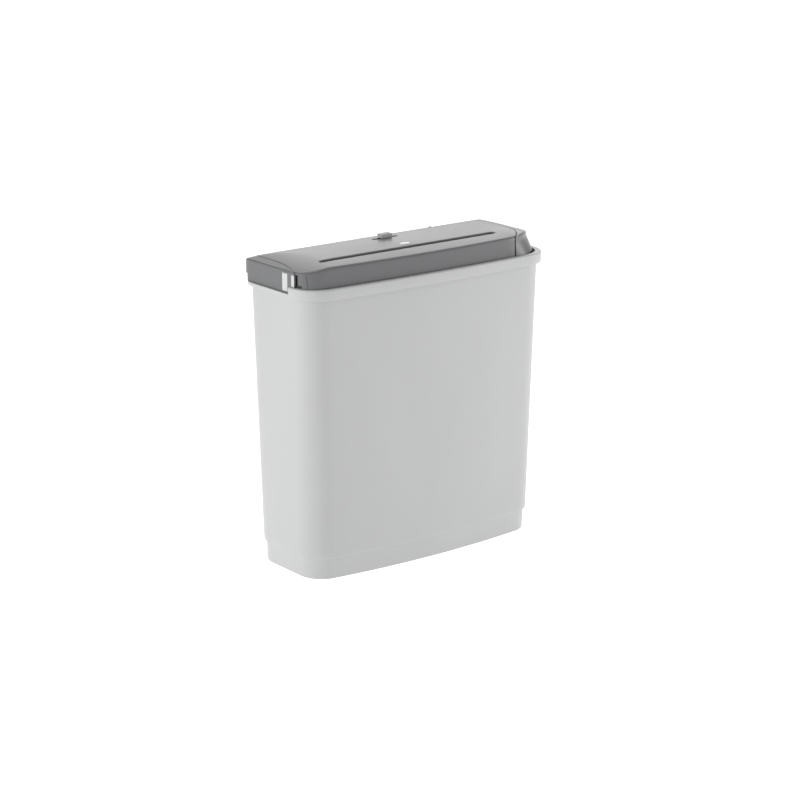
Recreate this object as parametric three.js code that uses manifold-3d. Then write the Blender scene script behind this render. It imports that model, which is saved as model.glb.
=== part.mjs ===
// Paper shredder: a cutting head that sits on an open-topped waste bin.
// Millimetres, +Z up, +X along the feed slot, front towards -Y.
// The origin is the middle of the bin's underside.

import * as THREE from 'three';
import { mergeVertices } from 'three/addons/utils/BufferGeometryUtils.js';
import Module from 'manifold-3d';

const wasm = await Module();
wasm.setup();

const { PI } = Math;

// ---------------------------------------------------------------- sizes

// Feed slot, and the two bays of the head beside it, which set the length.
const SLOT_LENGTH = 220;
const SLOT_WIDTH = 6;
const LEFT_BAY = 28.3;
const RIGHT_BAY = 52.7;

// Bin.
const BIN_HEIGHT = 300;
const BIN_HALF_DEPTH = 57;
const BIN_BOW = 5.7;
const BIN_RADIUS = 25;
const BIN_DRAFT = 6.5;
const BIN_FOOT_BOW = 10.7;
const BIN_WALL = 2.2;
const BIN_FLOOR = 2.5;
const PLINTH_HEIGHT = 22.5;
const PLINTH_INSET = 2.5;
const RIM_HEIGHT = 11;
const RIM_OVERHANG = 4.5;
const RIM_SKIN = 2;
const SKIRT_DEPTH = 7;
const NOTCH_INSET = 0.5;
const LEFT_SKIRT = { front: -28, back: 44 };
const RIGHT_SKIRT = { front: -24, back: 24 };

// Head casing.
const HEAD_EDGE = 2;
const HEAD_SETBACK = 0.5;
const LEFT_FRONT_RADIUS = 22;
const LEFT_BACK_RADIUS = 14;
const RIGHT_FOOT_RADIUS = 40;
const RIGHT_TOP_RADIUS = 56;
const LEAN_HEIGHT = 15;
const CASE_WALL = 2.2;
const CROWN_HEIGHT = 23;
const CROWN_Y = -18;
const FRONT_HEIGHT = 20.3;
const REAR_EDGE_HEIGHT = 21;
const REAR_EDGE_Y = 27;
const REAR_ROLL = { inset: 13, drop: 2.5, foot: 1 };
const END_HEIGHT = 15;
const END_CROWN = 23.5;
const END_ROLL = 57.5;
const END_ROLL_BEND = 24.5;
const LEFT_CAP_WIDTH = 9;
const LEFT_CAP_FRONT_Y = -36;
const LEFT_SEAM_BEND_Y = 8;
const RIGHT_CAP_WIDTH = 20.5;
const RIGHT_SEAM_RADIUS = 71;
const RIGHT_SEAM_Y = -4;
const FLANGE_THICKNESS = 2;
const TUB_END_GAP = 10;
const TUB_SIDE_GAP = 4.8;
const TUB_RADIUS = 10;
const TUB_RIGHT_RADIUS = 30;
const TUB_DEPTH = 54;
const TUB_WALL = 2;
const GAP = 0.3;
const BOSS_SKIN = 0.5;
const SKIRT_OVERLAP = 4;
const SWITCH_GAP = 0.4;
// How far cutting and bounding solids reach past what they cut or bound.
const MARGIN = 40;

// Controls and lens on the top cover.
const FRONT_TO_SLOT = 26.6;
const SWITCH_X = -5;
const SWITCH_Y = 14;
const SWITCH_SLOT_LENGTH = 32;
const SWITCH_SLOT_WIDTH = 5;
const KNOB = { length: 13, width: 7.5, height: 4.2 };
const KNOB_STEM = { length: 6, width: 3.4 };
const SWITCH_BODY = { length: 38, width: 12, height: 11 };
const LENS = { x: -8, y: -23, halfLength: 6.2, halfWidth: 3.6, proud: 0.8 };
const GLAND = { x: 88, rise: 8.6, radius: 5.5, bore: 3.2, length: 12 };

// Cutters.
const CUTTER_RADIUS = 13;
const CUTTER_OVERLAP = 2;
const CUTTER_DROP = 28;
const NIP_Y = -20;
const DISC_PITCH = 11.7;
const DISC_CLEARANCE = 0.35;
const CORE_CLEARANCE = 0.8;
const SHAFT_RADIUS = 4.5;
const CUTTER_MARGIN = 1.5;
const CUTTER_SIDES = 10;
const COMB_THICKNESS = 2.2;
const COMB_HEIGHT = 5;
const COMB_CLEARANCE = 0.4;

// Frame.
const PLATE_THICKNESS = 2;
const PLATE_TOP_DROP = 3;
const PLATE_HALF_DEPTH = 46.5;
const LEFT_PLATE_BACK_Y = 17;
const BUSH_WALL = 2.4;
const BUSH_FLANGE = 1;
const RUNNING_CLEARANCE = 0.06;
const FIT_CLEARANCE = 0.1;
const TIE_RADIUS = 3;
const TIE_NUT = { radius: 4.6, thickness: 2.6 };
const TIE_PLACE = { forward: 8, behind: 4, beyond: 5.5, frontDrop: 7, rearDrop: 4.5, rise: 8 };
const BUSH_LIP = 1.5;
const TIE_END = 2;

// Gears.
const PRESSURE_ANGLE = (25 * PI) / 180;
const ADDENDUM = 0.9;
const DEDENDUM = 1.15;
const BACKLASH = 0.2;
const GEAR_FACE = 5.5;
const GEAR_GAP = 0.7;
const CUTTER_GEAR_TEETH = 16;
const SLOW_MODULE = 1.25;
const DRIVE_TEETH = 32;
const IDLER_SMALL_TEETH = 12;
const FAST_MODULE = 1;
const IDLER_LARGE_TEETH = 40;
const PINION_TEETH = 10;
const IDLER_PIN_RADIUS = 3;
const IDLER_STUB = 2.5;
const IDLER_HUB = 5;

// Motor and electrical pieces.
const MOTOR = {
  y: 29.5, drop: 25, radius: 17, length: 70, skin: 1.6, shaft: 2, rotorGap: 2.4, plateGap: 3,
  windingGap: 12, bell: 4, bellPlug: 4, plugGap: 0.8,
};
const MOTOR_SCREW = { radius: 1.5, head: 2.8, headHeight: 1.6, offset: 11 };
const BOARD = {
  left: -70, right: 18, frontGap: 2.5, backGap: 3, drop: 40, thickness: 1.6, hole: 5, post: 3,
};
const CAPACITOR = { radius: 6.5, height: 20, inset: 24 };
const RELAY = { length: 19, width: 15, height: 15, inset: 34, back: 8 };
const TERMINALS = { length: 22, width: 9, height: 10, inset: 6, forward: 8 };
const LEVER = { x: -12, width: 3, pivotY: -6, pivotRise: 6, pin: 1.2, reach: 27, thickness: 2.2 };
const LEVER_WINDOW = { halfWidth: 3.4, below: 12, above: 5 };
const SENSOR_BODY = { length: 18, depth: 11, height: 12 };
const GUIDE_THICKNESS = 1.6;
const GUIDE_THROAT = 7;
const PLUNGER = { inset: 6.7, y: -10, radius: 2, down: 6, up: 7, collar: 3.2, stroke: 2.5 };
const SAFETY_BODY = { length: 8, width: 14, height: 8.5 };
const POST = { inwards: 3, bite: 0.2, halfWidth: 4, foot: 34 };
const SCREW = {
  radius: 1.5, head: 3, headHeight: 1.8, x: 70, inset: 2.2, boss: 3, longReach: 12, shortReach: 6,
};
const CAP_SCREW = { inset: 6, y: 20, boss: 2.6, head: 2.3, reach: 9 };

// ------------------------------------------------------- derived places

const DECK = BIN_HEIGHT;
const BIN_HALF_LENGTH = (LEFT_BAY + SLOT_LENGTH + RIGHT_BAY) / 2;
const SLOT_X = (LEFT_BAY - RIGHT_BAY) / 2;
const HEAD_HALF_LENGTH = BIN_HALF_LENGTH + HEAD_EDGE;
const HEAD_HALF_DEPTH = BIN_HALF_DEPTH - HEAD_SETBACK;
const SLOT_Y = FRONT_TO_SLOT - HEAD_HALF_DEPTH - BIN_BOW;
const TUB_HALF_LENGTH = BIN_HALF_LENGTH - BIN_WALL - TUB_END_GAP;
const TUB_HALF_DEPTH = BIN_HALF_DEPTH - BIN_WALL - TUB_SIDE_GAP;
const TUB_BOTTOM = DECK - TUB_DEPTH;
const RIGHT_SEAM_X = HEAD_HALF_LENGTH - RIGHT_CAP_WIDTH - RIGHT_SEAM_RADIUS;
const LEFT_SEAM_X = LEFT_CAP_WIDTH - HEAD_HALF_LENGTH;

const AXIS_SPACING = 2 * CUTTER_RADIUS - CUTTER_OVERLAP;
const CUTTER_Z = DECK - CUTTER_DROP;
const FRONT_AXIS = { y: NIP_Y - AXIS_SPACING / 2, z: CUTTER_Z };
const REAR_AXIS = { y: NIP_Y + AXIS_SPACING / 2, z: CUTTER_Z };
const CORE_RADIUS = AXIS_SPACING - CUTTER_RADIUS - CORE_CLEARANCE;
const CUTTER_LEFT = SLOT_X - SLOT_LENGTH / 2 - CUTTER_MARGIN;
const CUTTER_RIGHT = SLOT_X + SLOT_LENGTH / 2 + CUTTER_MARGIN;
const LEFT_PLATE_X = CUTTER_LEFT - CUTTER_MARGIN - PLATE_THICKNESS;
const RIGHT_PLATE_X = CUTTER_RIGHT + CUTTER_MARGIN;
const PLATE_BOTTOM = TUB_BOTTOM + TUB_WALL + GAP;
const PLATE_TOP = DECK - PLATE_TOP_DROP;
const LOW_TIE_Y = REAR_AXIS.y + CUTTER_RADIUS + TIE_PLACE.beyond;
const BOARD_FRONT = LOW_TIE_Y + BOARD.frontGap;
const BOARD_BACK = TUB_HALF_DEPTH - TUB_WALL - BOARD.backGap;

const SYNC_X = RIGHT_PLATE_X + PLATE_THICKNESS + BUSH_FLANGE + GEAR_GAP;
const SLOW_X = SYNC_X + GEAR_FACE + GEAR_GAP;
const FAST_X = SLOW_X + GEAR_FACE + GEAR_GAP;
const MOTOR_AXIS = { y: MOTOR.y, z: DECK - MOTOR.drop };
const SLOW_SPACING = ((DRIVE_TEETH + IDLER_SMALL_TEETH) * SLOW_MODULE) / 2;
const FAST_SPACING = ((IDLER_LARGE_TEETH + PINION_TEETH) * FAST_MODULE) / 2;
const IDLER_AXIS = apexAbove(REAR_AXIS, MOTOR_AXIS, SLOW_SPACING, FAST_SPACING);

const GUIDE_TOP = DECK + FRONT_HEIGHT - CASE_WALL - 2;
const GUIDE_BOTTOM = CUTTER_Z + CUTTER_RADIUS + 2.5;
const LEVER_Z = DECK + LEVER.pivotRise;

// ------------------------------------------------------------ colours

const paint = (color, roughness, metalness = 0) =>
  new THREE.MeshStandardMaterial({ color, roughness, metalness });
const BIN_GREY = paint(0xd2d4d5, 0.5);
const CASE_GREY = paint(0x7b7c7e, 0.42);
const CAP_GREY = paint(0x6f7072, 0.4);
const KNOB_GREY = paint(0xb9bbbc, 0.45);
const HOUSING_BLACK = paint(0x2a2b2d, 0.6);
const LENS_GREY = paint(0xd9dcdc, 0.15);
const STEEL = paint(0xa9abad, 0.35, 1);
const CUTTER_STEEL = paint(0x8c8e91, 0.3, 1);
const BRONZE = paint(0xa9793f, 0.4, 1);
const GEAR_WHITE = paint(0xe8e5da, 0.5);
const MOTOR_STEEL = paint(0x9fa1a3, 0.4, 1);
const BOARD_GREEN = paint(0x1f5a38, 0.55);
const COMPONENT_BLUE = paint(0x22416e, 0.4);
const RUBBER_BLACK = paint(0x1b1b1c, 0.85);

// ------------------------------------------------------------ helpers

// The point at distances fromA and fromB of two axes, on the upper side.
function apexAbove(a, b, fromA, fromB) {
  const span = Math.hypot(b.y - a.y, b.z - a.z);
  const along = (fromA ** 2 - fromB ** 2 + span ** 2) / (2 * span);
  const height = Math.sqrt(fromA ** 2 - along ** 2);
  const uy = (b.y - a.y) / span;
  const uz = (b.z - a.z) / span;
  return { y: a.y + along * uy - height * uz, z: a.z + along * uz + height * uy };
}

// Circumscribed radius of a polygonal hole that clears a round shaft.
const boreFor = (shaft, clearance, sides) => (shaft + clearance) / Math.cos(PI / sides);

// A closed geometry as a manifold solid, and back again.
function solidOf(geometry) {
  geometry.deleteAttribute('normal');
  geometry.deleteAttribute('uv');
  const merged = mergeVertices(geometry, 1e-4);
  return new wasm.Manifold(new wasm.Mesh({
    numProp: 3,
    vertProperties: merged.attributes.position.array,
    triVerts: new Uint32Array(merged.index.array),
  }));
}

function geometryOf(solid) {
  const mesh = solid.getMesh();
  const geometry = new THREE.BufferGeometry();
  geometry.setAttribute('position', new THREE.BufferAttribute(mesh.vertProperties, 3));
  geometry.setIndex(new THREE.BufferAttribute(mesh.triVerts, 1));
  geometry.computeVertexNormals();
  return geometry;
}

const joined = (...solids) => solids.reduce((sum, solid) => sum.add(solid));

// Straight prisms along Z, along X (drawn in Y, Z) and along Y (drawn in X, Z).
function slab(outline, z0, z1, holes = []) {
  const shape = outline instanceof THREE.Shape ? outline : new THREE.Shape(outline);
  shape.holes.push(...holes);
  const geometry = new THREE.ExtrudeGeometry(shape, {
    depth: z1 - z0, bevelEnabled: false, curveSegments: 8,
  });
  return geometry.translate(0, 0, z0);
}

function barX(outline, x0, x1, holes = []) {
  const upright = slab(outline, x0, x1, holes);
  const turn = new THREE.Matrix4().set(0, 0, 1, 0, 1, 0, 0, 0, 0, 1, 0, 0, 0, 0, 0, 1);
  return upright.applyMatrix4(turn);
}

const barY = (outline, y0, y1) => slab(outline, 0, y1 - y0).rotateX(PI / 2).translate(0, y1, 0);

const box = (x0, x1, y0, y1, z0, z1) =>
  new THREE.BoxGeometry(x1 - x0, y1 - y0, z1 - z0)
    .translate((x0 + x1) / 2, (y0 + y1) / 2, (z0 + z1) / 2);

const rodX = (radius, x0, x1, axis, sides = 16) =>
  new THREE.CylinderGeometry(radius, radius, x1 - x0, sides)
    .rotateZ(PI / 2).translate((x0 + x1) / 2, axis.y, axis.z);

const rodY = (radius, y0, y1, x, z, sides = 16) =>
  new THREE.CylinderGeometry(radius, radius, y1 - y0, sides)
    .translate(x, (y0 + y1) / 2, z);

const rodZ = (radius, z0, z1, x, y, sides = 12) =>
  new THREE.CylinderGeometry(radius, radius, z1 - z0, sides)
    .rotateX(PI / 2).translate(x, y, (z0 + z1) / 2);

// A turned piece about an axis along X, from (radius, x) pairs.
function turnedX(pairs, axis, sides) {
  const profile = pairs.map(([radius, x]) => new THREE.Vector2(radius, x));
  return new THREE.LatheGeometry(profile, sides).rotateZ(-PI / 2).translate(0, axis.y, axis.z);
}

const rectangle = (x0, x1, y0, y1) => [
  new THREE.Vector2(x0, y0), new THREE.Vector2(x1, y0),
  new THREE.Vector2(x1, y1), new THREE.Vector2(x0, y1),
];

const circleHole = (x, y, radius, sides = 16) => new THREE.Path(arc(x, y, radius, 0, 2 * PI, sides)
  .slice(0, -1));

function arc(x, y, radius, from, to, steps) {
  return Array.from({ length: steps + 1 }, (_, i) => {
    const angle = from + ((to - from) * i) / steps;
    return new THREE.Vector2(x + radius * Math.cos(angle), y + radius * Math.sin(angle));
  });
}

// A slot with round ends along X.
const capsule = (x, y, length, width) => {
  const reach = (length - width) / 2;
  return [
    ...arc(x + reach, y, width / 2, -PI / 2, PI / 2, 8),
    ...arc(x - reach, y, width / 2, PI / 2, (3 * PI) / 2, 8),
  ];
};

// Plan of the bin and the head: a rounded rectangle with bowed long sides.
// The corner radii go anticlockwise from the front right one.
function plan({ halfLength, halfDepth, bow, radii }) {
  const corner = 4;
  const side = 8;
  const [frontRight, backRight, backLeft, frontLeft] = radii;
  const between = (x0, x1, y) => Array.from({ length: side - 1 }, (_, i) =>
    new THREE.Vector2(x0 + ((x1 - x0) * (i + 1)) / side, y));
  const turn = (sx, sy, radius, from) => arc(sx * (halfLength - radius),
    sy * (halfDepth - radius), radius, from, from + PI / 2, corner);
  const straight = [
    ...turn(1, -1, frontRight, -PI / 2),
    ...turn(1, 1, backRight, 0),
    ...between(halfLength - backRight, backLeft - halfLength, halfDepth),
    ...turn(-1, 1, backLeft, PI / 2),
    ...turn(-1, -1, frontLeft, PI),
    ...between(frontLeft - halfLength, halfLength - frontRight, -halfDepth),
  ];
  return straight.map(({ x, y }) =>
    new THREE.Vector2(x, y + (y / halfDepth) * bow * (1 - (x / halfLength) ** 2)));
}

// A prism whose outline changes evenly from lower to upper.
function taper(lower, upper, z0, z1) {
  const geometry = slab(lower, z0, z1);
  const spots = geometry.attributes.position;
  const middle = (z0 + z1) / 2;
  for (let i = 0; i < spots.count; i += 1) {
    if (spots.getZ(i) > middle) {
      const here = new THREE.Vector2(spots.getX(i), spots.getY(i));
      const match = lower.reduce((best, point, k) =>
        (point.distanceTo(here) < lower[best].distanceTo(here) ? k : best), 0);
      spots.setXY(i, upper[match].x, upper[match].y);
    }
  }
  return geometry;
}

// ---------------------------------------------------------------- bin

// Outline of the bin's wall at a height, moved inwards by inset.
function binPlan(z, inset) {
  const share = z / BIN_HEIGHT;
  const draft = BIN_DRAFT * (1 - share);
  return plan({
    halfLength: BIN_HALF_LENGTH - draft - inset,
    halfDepth: BIN_HALF_DEPTH - draft - inset,
    bow: BIN_FOOT_BOW + (BIN_BOW - BIN_FOOT_BOW) * share,
    radii: Array(4).fill(BIN_RADIUS - inset),
  });
}

const binTaper = (z0, z1, inset) => solidOf(taper(binPlan(z0, inset), binPlan(z1, inset), z0, z1));

// One moulding: plinth, drafted wall, turned-down rim, two end notches and
// the post that works the head's safety switch.
function wasteBin() {
  const over = DECK + 1;
  const rimLow = DECK - RIM_HEIGHT;
  const outside = joined(
    binTaper(0, PLINTH_HEIGHT + 1, PLINTH_INSET),
    binTaper(PLINTH_HEIGHT, DECK, 0),
    binTaper(rimLow, DECK, -RIM_OVERHANG),
  );
  const channel = binTaper(rimLow - 1, DECK - RIM_SKIN, RIM_SKIN - RIM_OVERHANG)
    .subtract(binTaper(rimLow - 2, DECK, 0));
  const plinthRoom = binTaper(BIN_FLOOR, PLINTH_HEIGHT + BIN_WALL + 1, PLINTH_INSET + BIN_WALL);
  const room = binTaper(PLINTH_HEIGHT + BIN_WALL, over, BIN_WALL);
  const notches = [-1, 1].map((end) => {
    const inner = end * (BIN_HALF_LENGTH - BIN_WALL - NOTCH_INSET);
    const outer = end * (BIN_HALF_LENGTH + RIM_OVERHANG + 1);
    return solidOf(box(Math.min(inner, outer), Math.max(inner, outer),
      LEFT_SKIRT.front - GAP, LEFT_SKIRT.back + GAP, DECK - SKIRT_DEPTH - GAP, over));
  });
  const post = solidOf(box(PLUNGER_X - POST.inwards, BIN_HALF_LENGTH - BIN_WALL - POST.bite,
    PLUNGER.y - POST.halfWidth, PLUNGER.y + POST.halfWidth,
    DECK - POST.foot, DECK - PLUNGER.down - GAP));
  const cut = joined(channel, plinthRoom, room, ...notches);
  return outside.subtract(cut).add(post);
}

// --------------------------------------------------------- head casing

// The crown's curve in Y and height over the deck, moved inwards by inset.
const crownCurve = (inset) => new THREE.QuadraticBezierCurve(
  new THREE.Vector2(REAR_EDGE_Y - inset, REAR_EDGE_HEIGHT - inset),
  new THREE.Vector2(CROWN_Y, 2 * CROWN_HEIGHT - REAR_EDGE_HEIGHT - inset),
  new THREE.Vector2(-HEAD_HALF_DEPTH - BIN_BOW, FRONT_HEIGHT - inset),
);

// Cross section of the head in Y, Z: upright front, crowned top, rolled back.
function crossSection(inset) {
  const front = -HEAD_HALF_DEPTH - MARGIN;
  const rear = HEAD_HALF_DEPTH + BIN_BOW - inset;
  const { v0, v1, v2 } = crownCurve(inset);
  const shape = new THREE.Shape();
  shape.moveTo(front, DECK - MARGIN);
  shape.lineTo(rear, DECK - MARGIN);
  shape.lineTo(rear, DECK + FLANGE_THICKNESS + REAR_ROLL.foot);
  shape.quadraticCurveTo(rear - REAR_ROLL.inset, DECK + REAR_EDGE_HEIGHT - REAR_ROLL.drop - inset,
    v0.x, DECK + v0.y);
  shape.quadraticCurveTo(v1.x, DECK + v1.y, v2.x, DECK + v2.y);
  shape.lineTo(front, DECK + v2.y);
  return shape;
}

// Length section of the head in X, Z: level, rolling down to both ends.
function lengthSection(inset) {
  const end = HEAD_HALF_LENGTH;
  const crown = DECK + END_CROWN - inset;
  const shape = new THREE.Shape();
  shape.moveTo(-end, DECK - MARGIN);
  shape.lineTo(end, DECK - MARGIN);
  shape.lineTo(end, DECK + END_HEIGHT - inset);
  shape.quadraticCurveTo(end - END_ROLL_BEND, crown, end - END_ROLL, crown);
  shape.lineTo(END_ROLL - end, crown);
  shape.quadraticCurveTo(END_ROLL_BEND - end, crown, -end, DECK + END_HEIGHT - inset);
  return shape;
}

// Plan of the head at a height over the deck: the right corners lean inwards.
function headPlan(inset, height) {
  const share = Math.min(Math.max(height / LEAN_HEIGHT, 0), 1);
  const right = RIGHT_FOOT_RADIUS + (RIGHT_TOP_RADIUS - RIGHT_FOOT_RADIUS) * share;
  return plan({
    halfLength: HEAD_HALF_LENGTH - inset,
    halfDepth: HEAD_HALF_DEPTH - inset,
    bow: BIN_BOW,
    radii: [right, right, LEFT_BACK_RADIUS, LEFT_FRONT_RADIUS].map((radius) => radius - inset),
  });
}

function envelope(inset, low) {
  const reach = HEAD_HALF_LENGTH + MARGIN;
  const lean = Math.max(low, 0);
  const parts = [
    slab(headPlan(inset, LEAN_HEIGHT), DECK + LEAN_HEIGHT, DECK + MARGIN),
    taper(headPlan(inset, lean), headPlan(inset, LEAN_HEIGHT), DECK + lean, DECK + LEAN_HEIGHT),
  ];
  if (low < 0) parts.push(slab(headPlan(inset, 0), DECK + low, DECK));
  return joined(...parts.map(solidOf))
    .intersect(solidOf(barX(crossSection(inset), -reach, reach)))
    .intersect(solidOf(barY(lengthSection(inset), -reach, reach)));
}

const caseShell = () => envelope(0, GAP).subtract(envelope(CASE_WALL, -SKIRT_DEPTH));

// The regions of the two end caps; play widens or narrows them at the seams.
// The left seam bends outwards to the front corner with the square of its run.
function leftRegion(play) {
  const reach = HEAD_HALF_LENGTH + MARGIN;
  const tipX = -HEAD_HALF_LENGTH;
  const run = LEFT_SEAM_BEND_Y - LEFT_CAP_FRONT_Y;
  const bend = [1, 0.75, 0.5, 0.25, 0].map((share) => new THREE.Vector2(
    LEFT_SEAM_X + (tipX - LEFT_SEAM_X) * share ** 2 + play,
    LEFT_SEAM_BEND_Y - run * share - play,
  ));
  return solidOf(slab([
    new THREE.Vector2(-reach, bend[0].y), ...bend,
    new THREE.Vector2(bend[4].x, reach), new THREE.Vector2(-reach, reach),
  ], DECK - MARGIN, DECK + MARGIN));
}

function rightRegion(play) {
  const reach = HEAD_HALF_LENGTH + MARGIN;
  const side = solidOf(box(RIGHT_SEAM_X, reach, -reach, reach, DECK - MARGIN, DECK + MARGIN));
  return side.subtract(solidOf(rodZ(RIGHT_SEAM_RADIUS - play, DECK - MARGIN - 1, DECK + MARGIN + 1,
    RIGHT_SEAM_X, RIGHT_SEAM_Y, 64)));
}

// Screw bosses hang from the cover, bounded by its outer surface.
const coverScrewSpots = () => [-1, 1].flatMap((sx) => [-1, 1].map((sy) =>
  ({ x: sx * SCREW.x, y: sy * (HEAD_HALF_DEPTH - SCREW.inset), tall: sy < 0 })));

function boss(spot, radius) {
  const low = DECK + FLANGE_THICKNESS + 2 * GAP;
  return solidOf(rodZ(radius, low, DECK + MARGIN, spot.x, spot.y))
    .intersect(envelope(BOSS_SKIN, -SKIRT_DEPTH));
}

const screwBore = (spot, top) => solidOf(rodZ(boreFor(SCREW.radius, FIT_CLEARANCE, 12),
  DECK - SKIRT_DEPTH, DECK + top + 2 * GAP, spot.x, spot.y));

const screwTop = (spot) => (spot.tall ? SCREW.longReach : SCREW.shortReach);

function topCover() {
  const bosses = coverScrewSpots().map((spot) => boss(spot, SCREW.boss));
  const bores = coverScrewSpots().map((spot) => screwBore(spot, screwTop(spot)));
  const low = DECK + SCREW.longReach;
  const high = DECK + MARGIN;
  const feedSlot = solidOf(slab(capsule(SLOT_X, SLOT_Y, SLOT_LENGTH, SLOT_WIDTH), low, high));
  const switchSlot = solidOf(slab(
    capsule(SWITCH_X, SWITCH_Y, SWITCH_SLOT_LENGTH, SWITCH_SLOT_WIDTH), low, high,
  ));
  const lensHole = solidOf(slab(lensOutline(GAP), low, high));
  const glandHole = solidOf(rodY(GLAND.radius + GAP, REAR_EDGE_Y, HEAD_HALF_DEPTH + MARGIN,
    GLAND.x, DECK + GLAND.rise));
  return joined(caseShell(), ...bosses)
    .subtract(joined(leftRegion(GAP / 2), rightRegion(GAP / 2)))
    .subtract(joined(feedSlot, switchSlot, lensHole, glandHole, ...bores));
}

// An end cap: its share of the casing, and the skirt that drops into the
// notch in the bin's rim.
function endCap(end, region, { front, back }) {
  const outer = end * HEAD_HALF_LENGTH;
  const inner = end * (HEAD_HALF_LENGTH - CASE_WALL + GAP);
  const skirt = solidOf(box(Math.min(inner, outer), Math.max(inner, outer),
    front, back, DECK - SKIRT_DEPTH, DECK + SKIRT_OVERLAP)).intersect(envelope(0, -MARGIN));
  const spot = capScrewSpot(end);
  return caseShell().intersect(region)
    .add(skirt)
    .add(boss(spot, CAP_SCREW.boss))
    .subtract(screwBore(spot, CAP_SCREW.reach));
}

const capScrewSpot = (end) => ({ x: end * (HEAD_HALF_LENGTH - CAP_SCREW.inset), y: CAP_SCREW.y });

const leftEndCap = () => endCap(-1, leftRegion(-GAP / 2), LEFT_SKIRT);
const rightEndCap = () => endCap(1, rightRegion(-GAP / 2), RIGHT_SKIRT);

// The lower housing: a flange under the casing and a tub round the works,
// open below the cutters, with posts for the circuit board.
function lowerHousing() {
  const top = DECK + GAP + FLANGE_THICKNESS;
  const tubPlan = (inset) => plan({
    halfLength: TUB_HALF_LENGTH - inset,
    halfDepth: TUB_HALF_DEPTH - inset,
    bow: 0,
    radii: [TUB_RIGHT_RADIUS, TUB_RIGHT_RADIUS, TUB_RADIUS, TUB_RADIUS].map((r) => r - inset),
  });
  const flange = solidOf(slab(headPlan(CASE_WALL + GAP, LEAN_HEIGHT), DECK + GAP, top));
  const tub = solidOf(slab(tubPlan(0), TUB_BOTTOM, top));
  const room = solidOf(slab(tubPlan(TUB_WALL), TUB_BOTTOM + TUB_WALL, top + 1));
  const exit = solidOf(box(CUTTER_LEFT, CUTTER_RIGHT, FRONT_AXIS.y - CUTTER_RADIUS + GAP,
    REAR_AXIS.y + CUTTER_RADIUS - GAP, TUB_BOTTOM - 1, TUB_BOTTOM + TUB_WALL + 1));
  const posts = boardCorners().map(({ x, y }) =>
    solidOf(rodZ(BOARD.post, TUB_BOTTOM + 1, BOARD_Z - GAP, x, y)));
  const bores = [
    ...coverScrewSpots(), capScrewSpot(-1), capScrewSpot(1),
  ].map((spot) => screwBore(spot, FLANGE_THICKNESS + 1));
  const plungerBore = solidOf(rodZ(boreFor(PLUNGER.radius, FIT_CLEARANCE, 12), DECK - 1, top + 1,
    PLUNGER_X, PLUNGER.y));
  return joined(flange, tub).subtract(joined(room, exit)).add(joined(...posts))
    .subtract(joined(plungerBore, ...bores));
}

// ------------------------------------------------- controls on the top

// Height of the cover's crown near y: its outer surface, or one inset below.
function coverHeight(y, inset = 0) {
  const nearest = crownCurve(inset).getPoints(200).reduce((best, point) =>
    (Math.abs(point.x - y) < Math.abs(best.x - y) ? point : best));
  return DECK + nearest.y;
}

const SWITCH_TOP = coverHeight(SWITCH_Y);
const SWITCH_CEILING = coverHeight(SWITCH_Y + SWITCH_BODY.width / 2, CASE_WALL) - SWITCH_GAP;

function lensOutline(play) {
  const shape = new THREE.Shape();
  shape.absellipse(LENS.x, LENS.y, LENS.halfLength + play, LENS.halfWidth + play, 0, 2 * PI);
  return shape.getPoints(5).slice(0, -1);
}

function switchKnob() {
  const floor = SWITCH_TOP + 2 * GAP;
  const stemFoot = SWITCH_CEILING - SWITCH_BODY.height + 4;
  const cap = solidOf(box(SWITCH_X - KNOB.length / 2, SWITCH_X + KNOB.length / 2,
    SWITCH_Y - KNOB.width / 2, SWITCH_Y + KNOB.width / 2, floor, floor + KNOB.height));
  const stem = solidOf(box(SWITCH_X - KNOB_STEM.length / 2, SWITCH_X + KNOB_STEM.length / 2,
    SWITCH_Y - KNOB_STEM.width / 2, SWITCH_Y + KNOB_STEM.width / 2, stemFoot, floor + 1));
  return cap.add(stem);
}

function switchBody() {
  const reach = (SWITCH_SLOT_LENGTH - 2) / 2;
  const body = solidOf(box(SWITCH_X - SWITCH_BODY.length / 2, SWITCH_X + SWITCH_BODY.length / 2,
    SWITCH_Y - SWITCH_BODY.width / 2, SWITCH_Y + SWITCH_BODY.width / 2,
    SWITCH_CEILING - SWITCH_BODY.height, SWITCH_CEILING));
  const track = solidOf(box(SWITCH_X - reach, SWITCH_X + reach,
    SWITCH_Y - KNOB_STEM.width / 2 - GAP, SWITCH_Y + KNOB_STEM.width / 2 + GAP,
    SWITCH_CEILING - SWITCH_BODY.height + 3, SWITCH_CEILING + 1));
  return body.subtract(track);
}

const LENS_FOOT = coverHeight(LENS.y) - CASE_WALL - 1;

function indicatorLens() {
  return solidOf(slab(lensOutline(0), LENS_FOOT, coverHeight(LENS.y) + LENS.proud));
}

function indicatorLamp() {
  return solidOf(rodZ(2.5, LENS_FOOT - GAP - 6, LENS_FOOT - GAP, LENS.x, LENS.y));
}

// The rubber gland in the back of the cover, bored for a power lead.
function cordGland() {
  const y0 = HEAD_HALF_DEPTH + 2 - GLAND.length;
  const y1 = HEAD_HALF_DEPTH + 2;
  const z = DECK + GLAND.rise;
  return solidOf(rodY(GLAND.radius, y0, y1, GLAND.x, z))
    .subtract(solidOf(rodY(GLAND.bore, y0 - 1, y1 + 1, GLAND.x, z)));
}

// ------------------------------------------------------------- cutters

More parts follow.
